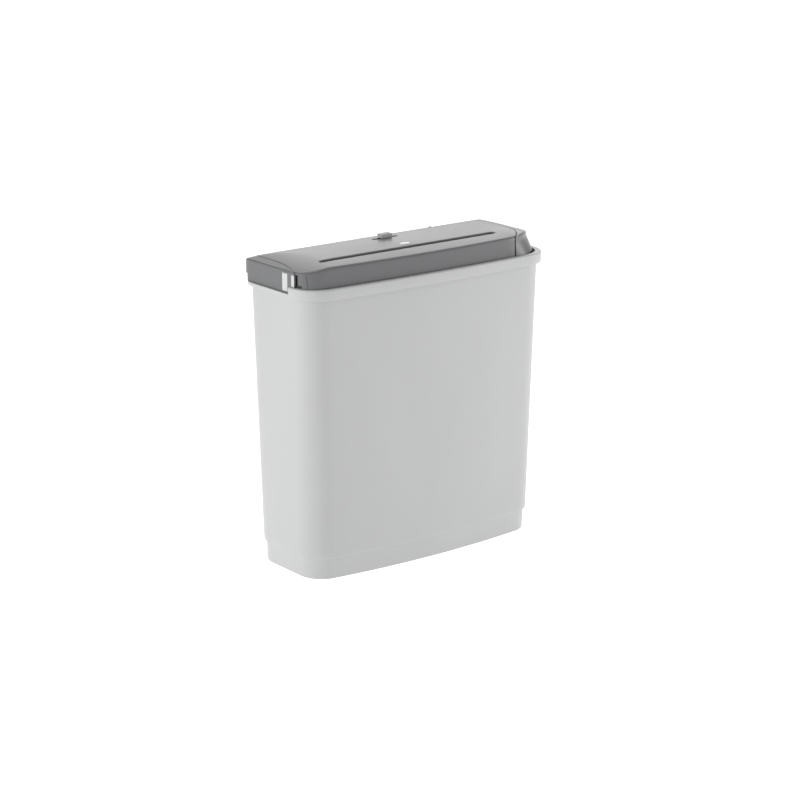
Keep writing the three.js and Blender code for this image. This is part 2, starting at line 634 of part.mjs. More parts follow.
// Disc faces along a cutter; the two cutters' discs take turns.
function discFaces(first) {
  const count = Math.floor((CUTTER_RIGHT - CUTTER_LEFT) / DISC_PITCH);
  const width = DISC_PITCH / 2 - DISC_CLEARANCE;
  const start = CUTTER_LEFT + (CUTTER_RIGHT - CUTTER_LEFT - count * DISC_PITCH) / 2;
  return Array.from({ length: count }, (_, i) => {
    const low = start + i * DISC_PITCH + (first ? 0 : DISC_PITCH / 2) + DISC_CLEARANCE / 2;
    return [low, low + width];
  });
}

// A cutting cylinder: journals, core and discs turned from one bar.
function cutter(axis, first, rightEnd) {
  const leftEnd = LEFT_PLATE_X - BUSH_FLANGE - 2;
  const profile = [[0, leftEnd], [SHAFT_RADIUS, leftEnd], [SHAFT_RADIUS, CUTTER_LEFT],
    [CORE_RADIUS, CUTTER_LEFT]];
  discFaces(first).forEach(([low, high]) => {
    profile.push([CORE_RADIUS, low], [CUTTER_RADIUS, low], [CUTTER_RADIUS, high],
      [CORE_RADIUS, high]);
  });
  profile.push([CORE_RADIUS, CUTTER_RIGHT], [SHAFT_RADIUS, CUTTER_RIGHT],
    [SHAFT_RADIUS, rightEnd], [0, rightEnd]);
  return solidOf(turnedX(profile, axis, CUTTER_SIDES));
}

const frontCutter = () => cutter(FRONT_AXIS, true, SYNC_X + GEAR_FACE);
const rearCutter = () => cutter(REAR_AXIS, false, SLOW_X + GEAR_FACE);

// A stripper comb: a bar with a finger in each gap between discs.
function stripperComb(axis, first, side) {
  const clear = axis.y + side * (CUTTER_RADIUS + COMB_CLEARANCE);
  const back = clear + side * COMB_THICKNESS;
  const tip = axis.y + side * (CORE_RADIUS + COMB_CLEARANCE);
  const faces = discFaces(first);
  const points = [new THREE.Vector2(CUTTER_LEFT, back), new THREE.Vector2(CUTTER_LEFT, clear)];
  faces.slice(0, -1).forEach(([, high], i) => {
    const x0 = high + COMB_CLEARANCE;
    const x1 = faces[i + 1][0] - COMB_CLEARANCE;
    points.push(new THREE.Vector2(x0, clear), new THREE.Vector2(x0, tip),
      new THREE.Vector2(x1, tip), new THREE.Vector2(x1, clear));
  });
  points.push(new THREE.Vector2(CUTTER_RIGHT, clear), new THREE.Vector2(CUTTER_RIGHT, back));
  return solidOf(slab(points, axis.z - COMB_HEIGHT / 2, axis.z + COMB_HEIGHT / 2));
}

// --------------------------------------------------------------- frame

const tieSpots = () => [
  { y: FRONT_AXIS.y - TIE_PLACE.forward, z: PLATE_TOP - TIE_PLACE.frontDrop },
  { y: REAR_AXIS.y + TIE_PLACE.behind, z: PLATE_TOP - TIE_PLACE.rearDrop },
  { y: LOW_TIE_Y, z: TUB_BOTTOM + TUB_WALL + TIE_PLACE.rise },
];

// A side plate with holes for bushes and tie rods; the right one also
// carries the motor and the idler pin.
function sidePlate(x, backY, motorSide) {
  const bushRadius = SHAFT_RADIUS + BUSH_WALL;
  const holes = [FRONT_AXIS, REAR_AXIS]
    .map((axis) => rodX(boreFor(bushRadius, FIT_CLEARANCE, 16), x - 1, x + PLATE_THICKNESS + 1, axis));
  tieSpots().forEach((axis) =>
    holes.push(rodX(boreFor(TIE_END, FIT_CLEARANCE, 12), x - 1, x + PLATE_THICKNESS + 1,
      axis, 12)));
  if (motorSide) {
    holes.push(rodX(MOTOR.shaft + MOTOR.plateGap, x - 1, x + PLATE_THICKNESS + 1, MOTOR_AXIS));
    holes.push(rodX(boreFor(IDLER_STUB, FIT_CLEARANCE, 16), x - 1,
      x + PLATE_THICKNESS + 1, IDLER_AXIS));
    motorScrewSpots().forEach((axis) => holes.push(rodX(
      boreFor(MOTOR_SCREW.radius, FIT_CLEARANCE, 12), x - 1, x + PLATE_THICKNESS + 1, axis, 12,
    )));
  }
  const sheet = solidOf(barX(rectangle(-PLATE_HALF_DEPTH, backY, PLATE_BOTTOM, PLATE_TOP),
    x, x + PLATE_THICKNESS));
  return sheet.subtract(joined(...holes.map(solidOf)));
}

// A flanged bush; its flange lies on the outer face of the plate.
function bush(axis, plateX, outward) {
  const bore = boreFor(SHAFT_RADIUS, RUNNING_CLEARANCE, CUTTER_SIDES);
  const barrel = SHAFT_RADIUS + BUSH_WALL;
  const face = plateX + (outward > 0 ? PLATE_THICKNESS : 0);
  const inner = plateX + (outward > 0 ? 0 : PLATE_THICKNESS);
  const flange = face + outward * BUSH_FLANGE;
  const seat = face + outward * FIT_CLEARANCE;
  const lip = barrel + BUSH_LIP;
  const profile = outward > 0
    ? [[bore, inner], [barrel, inner], [barrel, seat], [lip, seat], [lip, flange],
      [bore, flange], [bore, inner]]
    : [[bore, flange], [lip, flange], [lip, seat], [barrel, seat], [barrel, inner],
      [bore, inner], [bore, flange]];
  return solidOf(turnedX(profile, axis, CUTTER_SIDES));
}

// A tie rod shouldered between the plates, with threaded ends.
function tieRod(axis) {
  const leftShoulder = LEFT_PLATE_X + PLATE_THICKNESS + FIT_CLEARANCE;
  const rightShoulder = RIGHT_PLATE_X - FIT_CLEARANCE;
  const end = TIE_END;
  const leftEnd = LEFT_PLATE_X - TIE_NUT.thickness - 1;
  const rightEnd = RIGHT_PLATE_X + PLATE_THICKNESS + TIE_NUT.thickness + 1;
  return solidOf(turnedX([[0, leftEnd], [end, leftEnd], [end, leftShoulder],
    [TIE_RADIUS, leftShoulder], [TIE_RADIUS, rightShoulder], [end, rightShoulder],
    [end, rightEnd], [0, rightEnd]], axis, 12));
}

// A hexagon nut on a tie rod's end, against the outer face of a plate.
function tieNut(axis, outward) {
  const face = outward > 0 ? RIGHT_PLATE_X + PLATE_THICKNESS : LEFT_PLATE_X;
  const near = face + outward * FIT_CLEARANCE;
  const far = near + outward * TIE_NUT.thickness;
  const x0 = Math.min(near, far);
  const x1 = Math.max(near, far);
  return solidOf(rodX(TIE_NUT.radius, x0, x1, axis, 6))
    .subtract(solidOf(rodX(boreFor(TIE_END, FIT_CLEARANCE, 12), x0 - 1, x1 + 1, axis, 12)));
}

// --------------------------------------------------------------- gears

// Involute outline about (0, 0), with a tooth centred on the angle phase.
function gearOutline(teeth, module, phase) {
  const pitch = (teeth * module) / 2;
  const base = pitch * Math.cos(PRESSURE_ANGLE);
  const tip = pitch + ADDENDUM * module;
  const root = pitch - DEDENDUM * module;
  const start = Math.max(root, base);
  const involute = (angle) => Math.tan(angle) - angle;
  const half = (radius) => PI / (2 * teeth) - BACKLASH / (2 * pitch)
    + involute(PRESSURE_ANGLE) - involute(Math.acos(Math.min(1, base / radius)));
  const spot = (radius, angle) =>
    new THREE.Vector2(radius * Math.cos(angle), radius * Math.sin(angle));
  const radii = [start, tip];
  return Array.from({ length: teeth }, (_, i) => phase + (2 * PI * i) / teeth).flatMap((c) => [
    spot(root, c - half(start)),
    ...radii.map((r) => spot(r, c - half(r))),
    ...[...radii].reverse().map((r) => spot(r, c + half(r))),
    spot(root, c + half(start)),
  ]);
}

function gearSolid(teeth, module, phase, x0, axis, bore) {
  const wheel = solidOf(barX(gearOutline(teeth, module, phase), x0, x0 + GEAR_FACE)
    .translate(0, axis.y, axis.z));
  return wheel.subtract(solidOf(rodX(bore, x0 - 1, x0 + GEAR_FACE + 1, axis)));
}

// Phase of a follower: a gap faces the driver's tooth on the line of centres.
const heading = (from, to) => Math.atan2(to.z - from.z, to.y - from.y);
const meshing = (from, to, teeth) => heading(to, from) + PI / teeth;

const SHAFT_SEAT = boreFor(SHAFT_RADIUS, FIT_CLEARANCE, 16);
const CUTTER_GEAR_MODULE = AXIS_SPACING / CUTTER_GEAR_TEETH;

const rearCutterGear = () => gearSolid(CUTTER_GEAR_TEETH, CUTTER_GEAR_MODULE,
  heading(REAR_AXIS, FRONT_AXIS), SYNC_X, REAR_AXIS, SHAFT_SEAT);
const frontCutterGear = () => gearSolid(CUTTER_GEAR_TEETH, CUTTER_GEAR_MODULE,
  meshing(REAR_AXIS, FRONT_AXIS, CUTTER_GEAR_TEETH), SYNC_X, FRONT_AXIS, SHAFT_SEAT);
const driveGear = () => gearSolid(DRIVE_TEETH, SLOW_MODULE,
  heading(REAR_AXIS, IDLER_AXIS), SLOW_X, REAR_AXIS, SHAFT_SEAT);

function idlerGear() {
  const bore = boreFor(IDLER_PIN_RADIUS, RUNNING_CLEARANCE, 16);
  const small = gearSolid(IDLER_SMALL_TEETH, SLOW_MODULE,
    meshing(REAR_AXIS, IDLER_AXIS, IDLER_SMALL_TEETH), SLOW_X, IDLER_AXIS, bore);
  const large = gearSolid(IDLER_LARGE_TEETH, FAST_MODULE,
    heading(IDLER_AXIS, MOTOR_AXIS), FAST_X, IDLER_AXIS, bore);
  const hub = solidOf(rodX(IDLER_HUB, SLOW_X + GEAR_FACE - GAP, FAST_X + GAP, IDLER_AXIS))
    .subtract(solidOf(rodX(bore, SLOW_X, FAST_X + 2, IDLER_AXIS)));
  return joined(small, hub, large);
}

const motorPinion = () => gearSolid(PINION_TEETH, FAST_MODULE,
  meshing(IDLER_AXIS, MOTOR_AXIS, PINION_TEETH), FAST_X, MOTOR_AXIS,
  boreFor(MOTOR.shaft, FIT_CLEARANCE, 16));

// The idler's fixed pin: a shouldered pin riveted in the right plate.
function idlerPin() {
  const shoulder = RIGHT_PLATE_X + PLATE_THICKNESS + FIT_CLEARANCE;
  const end = FAST_X + GEAR_FACE + 2;
  return solidOf(turnedX([[0, RIGHT_PLATE_X], [IDLER_STUB, RIGHT_PLATE_X],
    [IDLER_STUB, shoulder], [IDLER_HUB, shoulder], [IDLER_HUB, SLOW_X - GAP],
    [IDLER_PIN_RADIUS, SLOW_X - GAP],
    [IDLER_PIN_RADIUS, end], [0, end]], IDLER_AXIS, 16));
}

// --------------------------------------------------------------- motor

const MOTOR_RIGHT = RIGHT_PLATE_X - GAP;
const MOTOR_LEFT = MOTOR_RIGHT - MOTOR.length;

const motorScrewSpots = () => [-1, 1].map((side) =>
  ({ y: MOTOR_AXIS.y + side * MOTOR_SCREW.offset, z: MOTOR_AXIS.z }));

// The can is a cup, open at the left, with a hole for the shaft.
function motorCan() {
  const { radius, skin, shaft } = MOTOR;
  const nose = shaft + 1;
  const cup = solidOf(turnedX([[nose, MOTOR_RIGHT - skin], [radius - skin, MOTOR_RIGHT - skin],
    [radius - skin, MOTOR_LEFT], [radius, MOTOR_LEFT], [radius, MOTOR_RIGHT],
    [nose, MOTOR_RIGHT], [nose, MOTOR_RIGHT - skin]], MOTOR_AXIS, 20));
  const taps = motorScrewSpots().map((axis) => solidOf(rodX(
    boreFor(MOTOR_SCREW.radius, FIT_CLEARANCE, 12), MOTOR_RIGHT - skin - 1, MOTOR_RIGHT + 1, axis, 12,
  )));
  return cup.subtract(joined(...taps));
}

// The plastic end bell plugs the can and holds the rotor's rear journal.
function motorEndBell() {
  const { radius, skin, shaft, bell, bellPlug, plugGap } = MOTOR;
  const plug = radius - skin - plugGap;
  const face = MOTOR_LEFT - FIT_CLEARANCE;
  const bore = boreFor(shaft, RUNNING_CLEARANCE, 16);
  return solidOf(turnedX([[0, face - bell], [radius, face - bell], [radius, face], [plug, face],
    [plug, face + bellPlug], [bore, face + bellPlug], [bore, face - 1], [0, face - 1]],
  MOTOR_AXIS, 16));
}

function motorRotor() {
  const { radius, skin, shaft, rotorGap, windingGap } = MOTOR;
  const iron = radius - skin - rotorGap;
  const left = MOTOR_LEFT - GAP;
  return solidOf(turnedX([[0, left], [shaft, left], [shaft, MOTOR_LEFT + windingGap],
    [iron, MOTOR_LEFT + windingGap], [iron, MOTOR_RIGHT - windingGap],
    [shaft, MOTOR_RIGHT - windingGap],
    [shaft, FAST_X + GEAR_FACE + 1], [0, FAST_X + GEAR_FACE + 1]], MOTOR_AXIS, 16));
}

function motorScrew(axis) {
  const { radius, head, headHeight } = MOTOR_SCREW;
  const seat = RIGHT_PLATE_X + PLATE_THICKNESS + FIT_CLEARANCE;
  const tip = MOTOR_RIGHT - MOTOR.skin;
  return solidOf(turnedX([[0, tip], [radius, tip], [radius, seat], [head, seat],
    [head, seat + headHeight], [0, seat + headHeight]], axis, 12));
}

// ---------------------------------------------------- electrical pieces

const BOARD_Z = DECK - BOARD.drop;
const PARTS_Z = BOARD_Z + BOARD.thickness + GAP;

const boardCorners = () => [BOARD.left + BOARD.hole, BOARD.right - BOARD.hole].flatMap((x) =>
  [BOARD_FRONT + BOARD.hole, BOARD_BACK - BOARD.hole].map((y) => ({ x, y })));

const circuitBoard = () => solidOf(box(BOARD.left, BOARD.right, BOARD_FRONT, BOARD_BACK,
  BOARD_Z, BOARD_Z + BOARD.thickness));
const capacitor = () => solidOf(rodZ(CAPACITOR.radius, PARTS_Z, PARTS_Z + CAPACITOR.height,
  BOARD.right - CAPACITOR.inset, (BOARD_FRONT + BOARD_BACK) / 2, 20));

// A plain component on the board, from its left front corner.
const component = (x, y, { length, width, height }) =>
  solidOf(box(x, x + length, y, y + width, PARTS_Z, PARTS_Z + height));

const relay = () => component(BOARD.left + RELAY.inset, BOARD_FRONT + RELAY.back, RELAY);
const terminalBlock = () => component(BOARD.left + TERMINALS.inset,
  BOARD_BACK - TERMINALS.forward - TERMINALS.width, TERMINALS);

// Height of the feed path's centre line gives its Y.
function pathY(z) {
  const share = (GUIDE_TOP - z) / (GUIDE_TOP - CUTTER_Z);
  return SLOT_Y + (NIP_Y - SLOT_Y) * share;
}

// One of the two sheets that guide paper from the slot to the cutters.
function paperGuide(side) {
  const near = side * (GUIDE_THROAT / 2);
  const far = side * (GUIDE_THROAT / 2 + GUIDE_THICKNESS);
  const outline = [
    new THREE.Vector2(pathY(GUIDE_BOTTOM) + near, GUIDE_BOTTOM),
    new THREE.Vector2(pathY(GUIDE_BOTTOM) + far, GUIDE_BOTTOM),
    new THREE.Vector2(pathY(GUIDE_TOP) + far, GUIDE_TOP),
    new THREE.Vector2(pathY(GUIDE_TOP) + near, GUIDE_TOP),
  ];
  const x0 = CUTTER_LEFT;
  const x1 = CUTTER_RIGHT;
  const sheet = solidOf(barX(side > 0 ? outline : outline.reverse(), x0, x1));
  return sheet.subtract(solidOf(box(LEVER.x - LEVER_WINDOW.halfWidth,
    LEVER.x + LEVER_WINDOW.halfWidth, SLOT_Y - 20, NIP_Y + 20,
    LEVER_Z - LEVER_WINDOW.below, LEVER_Z + LEVER_WINDOW.above)));
}

// The paper sensor: a switch with a lever that reaches across the path.
function sensorSwitch() {
  const y0 = LEVER.pivotY + 3;
  const body = solidOf(box(LEVER.x - SENSOR_BODY.length / 2, LEVER.x + SENSOR_BODY.length / 2,
    y0, y0 + SENSOR_BODY.depth, LEVER_Z - SENSOR_BODY.height / 2, LEVER_Z + SENSOR_BODY.height / 2));
  const ears = [-1, 1].map((side) => {
    const inner = LEVER.x + side * (LEVER.width / 2 + GAP);
    const outer = inner + side * 2;
    return solidOf(box(Math.min(inner, outer), Math.max(inner, outer), LEVER.pivotY - 2.4, y0 + 1,
      LEVER_Z - 2.4, LEVER_Z + 2.4));
  });
  const hole = solidOf(rodX(boreFor(LEVER.pin, RUNNING_CLEARANCE, 12), LEVER.x - 9, LEVER.x + 9,
    { y: LEVER.pivotY, z: LEVER_Z }, 12));
  return joined(body, ...ears).subtract(hole);
}

function sensorLever() {
  const { x, width, pivotY, pin, reach, thickness } = LEVER;
  const axis = { y: pivotY, z: LEVER_Z };
  const arm = solidOf(barX([
    new THREE.Vector2(pivotY + 1.6, LEVER_Z + thickness / 2),
    new THREE.Vector2(pivotY - reach, LEVER_Z - 1),
    new THREE.Vector2(pivotY - reach, LEVER_Z - 1 - thickness),
    new THREE.Vector2(pivotY + 1.6, LEVER_Z - thickness / 2),
  ], x - width / 2, x + width / 2));
  return arm.add(solidOf(rodX(pin, x - width / 2 - 2, x + width / 2 + 2, axis, 12)));
}

// The safety switch, and the plunger that the bin's post pushes up.
const PLUNGER_X = BIN_HALF_LENGTH - PLUNGER.inset;
const SAFETY_FOOT = DECK + FLANGE_THICKNESS + 2 * GAP;

function safetySwitch() {
  const body = solidOf(box(PLUNGER_X - SAFETY_BODY.length / 2, PLUNGER_X + SAFETY_BODY.length / 2,
    PLUNGER.y - SAFETY_BODY.width / 2, PLUNGER.y + SAFETY_BODY.width / 2,
    SAFETY_FOOT, SAFETY_FOOT + SAFETY_BODY.height));
  const shaft = solidOf(rodZ(boreFor(PLUNGER.radius, FIT_CLEARANCE, 12), SAFETY_FOOT - 1,
    DECK + PLUNGER.up + PLUNGER.stroke + GAP, PLUNGER_X, PLUNGER.y));
  return body.subtract(shaft);
}

function safetyPlunger() {
  const foot = DECK - PLUNGER.down;
  const stem = solidOf(rodZ(PLUNGER.radius, foot, DECK + PLUNGER.up, PLUNGER_X, PLUNGER.y));
  const collar = solidOf(rodZ(PLUNGER.collar, foot, foot + 1.5, PLUNGER_X, PLUNGER.y));
  return stem.add(collar);
}

// A screw from below: head under the flange, shank up into a boss.
function flangeScrew({ x, y }, top, headRadius) {
  const head = solidOf(rodZ(headRadius, DECK - SCREW.headHeight, DECK, x, y));
  return head.add(solidOf(rodZ(SCREW.radius, DECK - 1, DECK + top, x, y)));
}

// ------------------------------------------------------------ assembly

const shredder = new THREE.Group();

function add(group, name, solid, material) {
  const mesh = new THREE.Mesh(geometryOf(solid), material);
  mesh.name = name;
  group.add(mesh);
}

const head = new THREE.Group();
const works = new THREE.Group();
shredder.add(head);
head.add(works);

add(shredder, 'waste_bin', wasteBin(), BIN_GREY);

add(head, 'top_cover', topCover(), CASE_GREY);
add(head, 'left_end_cap', leftEndCap(), CAP_GREY);
add(head, 'right_end_cap', rightEndCap(), CAP_GREY);
add(head, 'lower_housing', lowerHousing(), HOUSING_BLACK);
add(head, 'switch_knob', switchKnob(), KNOB_GREY);
add(head, 'switch_body', switchBody(), HOUSING_BLACK);
add(head, 'indicator_lens', indicatorLens(), LENS_GREY);
add(head, 'indicator_lamp', indicatorLamp(), LENS_GREY);
add(head, 'cord_gland', cordGland(), RUBBER_BLACK);
coverScrewSpots().forEach((spot, i) =>
  add(head, `cover_screw_${i + 1}`, flangeScrew(spot, screwTop(spot), SCREW.head), STEEL));
add(head, 'left_cap_screw', flangeScrew(capScrewSpot(-1), 9, CAP_SCREW.head), STEEL);
add(head, 'right_cap_screw', flangeScrew(capScrewSpot(1), 9, CAP_SCREW.head), STEEL);

add(works, 'left_side_plate', sidePlate(LEFT_PLATE_X, LEFT_PLATE_BACK_Y, false), STEEL);
add(works, 'right_side_plate', sidePlate(RIGHT_PLATE_X, PLATE_HALF_DEPTH, true), STEEL);
tieSpots().forEach((axis, i) => {
  add(works, `tie_rod_${i + 1}`, tieRod(axis), STEEL);
  add(works, `tie_nut_left_${i + 1}`, tieNut(axis, -1), STEEL);
  add(works, `tie_nut_right_${i + 1}`, tieNut(axis, 1), STEEL);
});
[['front', FRONT_AXIS], ['rear', REAR_AXIS]].forEach(([name, axis]) => {
  add(works, `${name}_left_bush`, bush(axis, LEFT_PLATE_X, -1), BRONZE);
  add(works, `${name}_right_bush`, bush(axis, RIGHT_PLATE_X, 1), BRONZE);
});
add(works, 'front_cutter', frontCutter(), CUTTER_STEEL);
add(works, 'rear_cutter', rearCutter(), CUTTER_STEEL);
add(works, 'front_stripper_comb', stripperComb(FRONT_AXIS, true, -1), HOUSING_BLACK);
add(works, 'rear_stripper_comb', stripperComb(REAR_AXIS, false, 1), HOUSING_BLACK);
add(works, 'front_paper_guide', paperGuide(-1), HOUSING_BLACK);
add(works, 'rear_paper_guide', paperGuide(1), HOUSING_BLACK);
add(works, 'front_cutter_gear', frontCutterGear(), STEEL);
add(works, 'rear_cutter_gear', rearCutterGear(), STEEL);
add(works, 'drive_gear', driveGear(), GEAR_WHITE);
add(works, 'idler_gear', idlerGear(), GEAR_WHITE);
add(works, 'idler_pin', idlerPin(), STEEL);
add(works, 'motor_pinion', motorPinion(), BRONZE);
add(works, 'motor_can', motorCan(), MOTOR_STEEL);
add(works, 'motor_end_bell', motorEndBell(), HOUSING_BLACK);
add(works, 'motor_rotor', motorRotor(), STEEL);
motorScrewSpots().forEach((axis, i) =>
  add(works, `motor_screw_${i + 1}`, motorScrew(axis), STEEL));
add(works, 'circuit_board', circuitBoard(), BOARD_GREEN);
add(works, 'capacitor', capacitor(), COMPONENT_BLUE);
add(works, 'relay', relay(), HOUSING_BLACK);
add(works, 'terminal_block', terminalBlock(), BOARD_GREEN);
add(works, 'sensor_switch', sensorSwitch(), HOUSING_BLACK);
add(works, 'sensor_lever', sensorLever(), KNOB_GREY);
add(works, 'safety_switch', safetySwitch(), HOUSING_BLACK);
add(works, 'safety_plunger', safetyPlunger(), KNOB_GREY);

export default shredder;
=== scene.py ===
# Paper shredder on a studio floor: a grey cutting head on a pale waste bin.
# Metres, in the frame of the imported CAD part; shapes are worked out in millimetres.
import math

import bpy
import numpy as np
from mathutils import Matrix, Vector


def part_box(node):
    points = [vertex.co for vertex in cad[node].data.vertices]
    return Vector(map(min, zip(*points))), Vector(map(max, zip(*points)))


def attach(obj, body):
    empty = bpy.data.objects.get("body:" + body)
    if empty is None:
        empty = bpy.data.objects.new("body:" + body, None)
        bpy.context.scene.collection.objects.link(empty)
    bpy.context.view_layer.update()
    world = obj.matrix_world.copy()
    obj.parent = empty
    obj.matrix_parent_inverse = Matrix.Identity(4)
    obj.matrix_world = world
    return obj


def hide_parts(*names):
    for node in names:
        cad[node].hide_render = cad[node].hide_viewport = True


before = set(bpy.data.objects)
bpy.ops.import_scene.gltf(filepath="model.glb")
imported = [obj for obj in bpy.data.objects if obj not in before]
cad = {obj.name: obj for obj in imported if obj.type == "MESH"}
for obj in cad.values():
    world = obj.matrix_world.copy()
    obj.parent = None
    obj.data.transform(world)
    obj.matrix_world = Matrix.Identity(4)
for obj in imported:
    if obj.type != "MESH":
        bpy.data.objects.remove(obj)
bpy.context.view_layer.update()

# ------------------------------------------------------------------ studio
# A pale sweep of floor, white surroundings, one broad light from the left, one from
# above, one low at the right, one behind, and a long lens looking down 16 degrees.

scene = bpy.context.scene
scene.view_settings.view_transform = "Standard"
lens_data = bpy.data.cameras.new("camera")
lens_data.lens = 110.25
lens_data.sensor_width = 36
lens_data.clip_end = 100
camera = bpy.data.objects.new("camera", lens_data)
camera.location = (-1.4771, -1.9160, 0.8470)
camera.rotation_euler = (math.radians(74), 0, math.radians(-37.7))
scene.collection.objects.link(camera)
scene.camera = camera

surroundings = bpy.data.worlds.new("surroundings")
scene.world = surroundings
surroundings.use_nodes = True
surroundings.node_tree.nodes["Background"].inputs["Color"].default_value = (1, 1, 1, 1)
surroundings.node_tree.nodes["Background"].inputs["Strength"].default_value = 0.42


def softbox(name, place, aim, width, height, watts):
    """A rectangular area light at place, turned towards aim."""
    data = bpy.data.lights.new(name, "AREA")
    data.shape = "RECTANGLE"
    data.size, data.size_y, data.energy = width, height, watts
    light = bpy.data.objects.new(name, data)
    light.location = place
    away = np.array(place) - np.array(aim)
    turn = math.atan2(away[0], -away[1])
    tilt = math.atan2(math.hypot(away[0], away[1]), away[2])
    light.rotation_euler = (tilt, 0, turn)
    scene.collection.objects.link(light)


softbox("left_light", (-2.2, 0.6, 0.7), (0, 0, 0.15), 1.4, 1.4, 18)
softbox("top_light", (0.1, 0.2, 2.2), (0, 0, 0.2), 1.8, 1.8, 13)
softbox("right_light", (1.7, -0.9, 0.6), (0.1, 0, 0.15), 0.8, 1.0, 10)
softbox("back_light", (1.25, 1.6, 1.0), (0, 0, 0.3), 1.8, 1.1, 9)


def place(tree, kind, inputs=(), **settings):
    """Adds one node. Settings are its own; inputs are values or the sockets that feed it."""
    node = tree.nodes.new(kind)
    for key, value in settings.items():
        setattr(node, key, value)
    for key, value in dict(inputs).items():
        if isinstance(value, bpy.types.NodeSocket):
            tree.links.new(value, node.inputs[key])
        else:
            node.inputs[key].default_value = value
    return node


def finish(name, settings, varied=lambda tree, local: {}):
    """A material: settings are the shader's own constants; varied returns what changes
    over the surface, worked out from the piece's own coordinates."""
    material = bpy.data.materials.new(name)
    material.use_nodes = True
    tree = material.node_tree
    shader = tree.nodes["Principled BSDF"]
    for key, value in settings.items():
        shader.inputs[key].default_value = value
    local = place(tree, "ShaderNodeTexCoord").outputs["Object"]
    for key, socket in varied(tree, local).items():
        tree.links.new(socket, shader.inputs[key])
    return material


def sweep_tone(tree, local):
    """Paper sweep: a faint cloudiness a hand wide."""
    cloud = place(tree, "ShaderNodeTexNoise", {"Vector": local, "Scale": 6.0, "Detail": 2.0})
    ramp = place(tree, "ShaderNodeMapRange", {
        "Value": cloud.outputs["Fac"], "To Min": 0.24, "To Max": 0.3})
    return {"Roughness": ramp.outputs["Result"]}


floor_data = bpy.data.meshes.new("floor")
floor_data.from_pydata(
    [(-20, -20, -0.0004), (20, -20, -0.0004), (20, 20, -0.0004), (-20, 20, -0.0004)],
    [], [(0, 1, 2, 3)])
floor = bpy.data.objects.new("floor", floor_data)
floor_data.materials.append(finish("sweep_paper", {
    "Base Color": (0.82, 0.82, 0.82, 1), "Emission Color": (1, 1, 1, 1),
    "Emission Strength": 0.68}, sweep_tone))
scene.collection.objects.link(floor)


# --------------------------------------------------------------- waste bin
# One thin moulding in pale grey polypropylene: plinth, drafted bowed walls,
# a turned-down rim, a notch in each end of the rim and a switch post inside.

DECK = 300.0
NOTCH = (-28.3, 44.3)
NOTCH_X = 147.8
NOTCH_FLOOR = DECK - 7.3
SKIN_FLOOR = NOTCH_FLOOR - 2


def spread(stops, counts):
    """Even steps from each stop to the next, counts[i] of them, and the last stop."""
    runs = [np.linspace(a, b, n, endpoint=False)
            for a, b, n in zip(stops[:-1], stops[1:], counts)]
    return np.concatenate(runs + [np.array(stops[-1:], float)])


LONG_STEPS, FRONT_STEPS, END_STEPS, BACK_STEPS = 30, 16, 26, 17


def half_plan(length, depth, front, back, breaks):
    """One end of a plan, from the middle of the front to the middle of the back: half
    length, half depth and corner radii. At each break, a y along the end, two points lie
    close together."""
    far = [math.degrees(math.asin(min((y - (depth - back)) / back, 0.97)))
           for y in breaks if y > depth - back]
    near = [max(y, front - depth + 0.1) for y in breaks if y <= depth - back]
    turn = [0.0] + [a + s for a in far for s in (-0.02, 0.02)] + [90.0]
    side = [front - depth] + [y + s for y in near for s in (-0.02, 0.02)] + [depth - back]
    end_counts = [6] + [1, (END_STEPS - 6) // len(near)] * len(near) if near else [END_STEPS]
    turn_counts = [BACK_STEPS // 2] + [1, BACK_STEPS // 2] * len(far) if far else [BACK_STEPS]
    x_front = spread([0, length - front], [LONG_STEPS])[:-1]
    low = np.radians(spread([-90, 0], [FRONT_STEPS]))[:-1]
    high = np.radians(spread(turn, turn_counts))[:-1]
    ends = spread(side, end_counts)[:-1]
    x_back = spread([length - back, 0], [LONG_STEPS])
    x = np.concatenate([x_front, length - front + front * np.cos(low),
                        np.full(len(ends), length), length - back + back * np.cos(high), x_back])
    y = np.concatenate([np.full(len(x_front), -depth), front - depth + front * np.sin(low), ends,
                        depth - back + back * np.sin(high), np.full(len(x_back), depth)])
    return np.column_stack([x, y])


def plan(length, depth, bow, right, left):
    """Plan of a moulding, anticlockwise from the middle of the front; right and left are
    the radii and breaks of its ends. A point's y grows by bow times its share of the half
    depth times one minus its squared share of the half length."""
    loop = np.vstack([half_plan(length, depth, *right),
                      half_plan(length, depth, *left)[-2:0:-1] * [-1, 1]])
    loop[:, 1] += loop[:, 1] / depth * bow * (1 - (loop[:, 0] / length) ** 2)
    return loop


CORNER_STEPS = 5


def softened(points, radii):
    """A bent line whose corners are arcs: each corner of radius r is cut back along both
    sides by r over the tangent of half its angle, and an arc joins the two cuts."""
    points = np.array(points, float)
    made = [points[:1]]
    for a, p, b, r in zip(points[:-2], points[1:-1], points[2:], radii):
        u, v = (a - p) / np.linalg.norm(a - p), (b - p) / np.linalg.norm(b - p)
        half = math.acos(np.clip(u @ v, -1, 1)) / 2
        middle = p + (u + v) / np.linalg.norm(u + v) * r / math.sin(half)
        start, stop = p + u * r / math.tan(half) - middle, p + v * r / math.tan(half) - middle
        share = np.linspace(0, 1, CORNER_STEPS + 1)[:, None]
        chord = start * (1 - share) + stop * share
        made.append(middle + chord / np.linalg.norm(chord, axis=1)[:, None] * r)
    return np.vstack(made + [points[-1:]])


def rows_of_quads(rows, columns, closed):
    """Faces of a grid of points, row by row; closed joins the last column to the first."""
    r, c = np.meshgrid(np.arange(rows - 1), np.arange(columns - (not closed)), indexing="ij")
    n = (c + 1) % columns
    return np.stack([r * columns + c, r * columns + n,
                     (r + 1) * columns + n, (r + 1) * columns + c], -1).reshape(-1, 4)


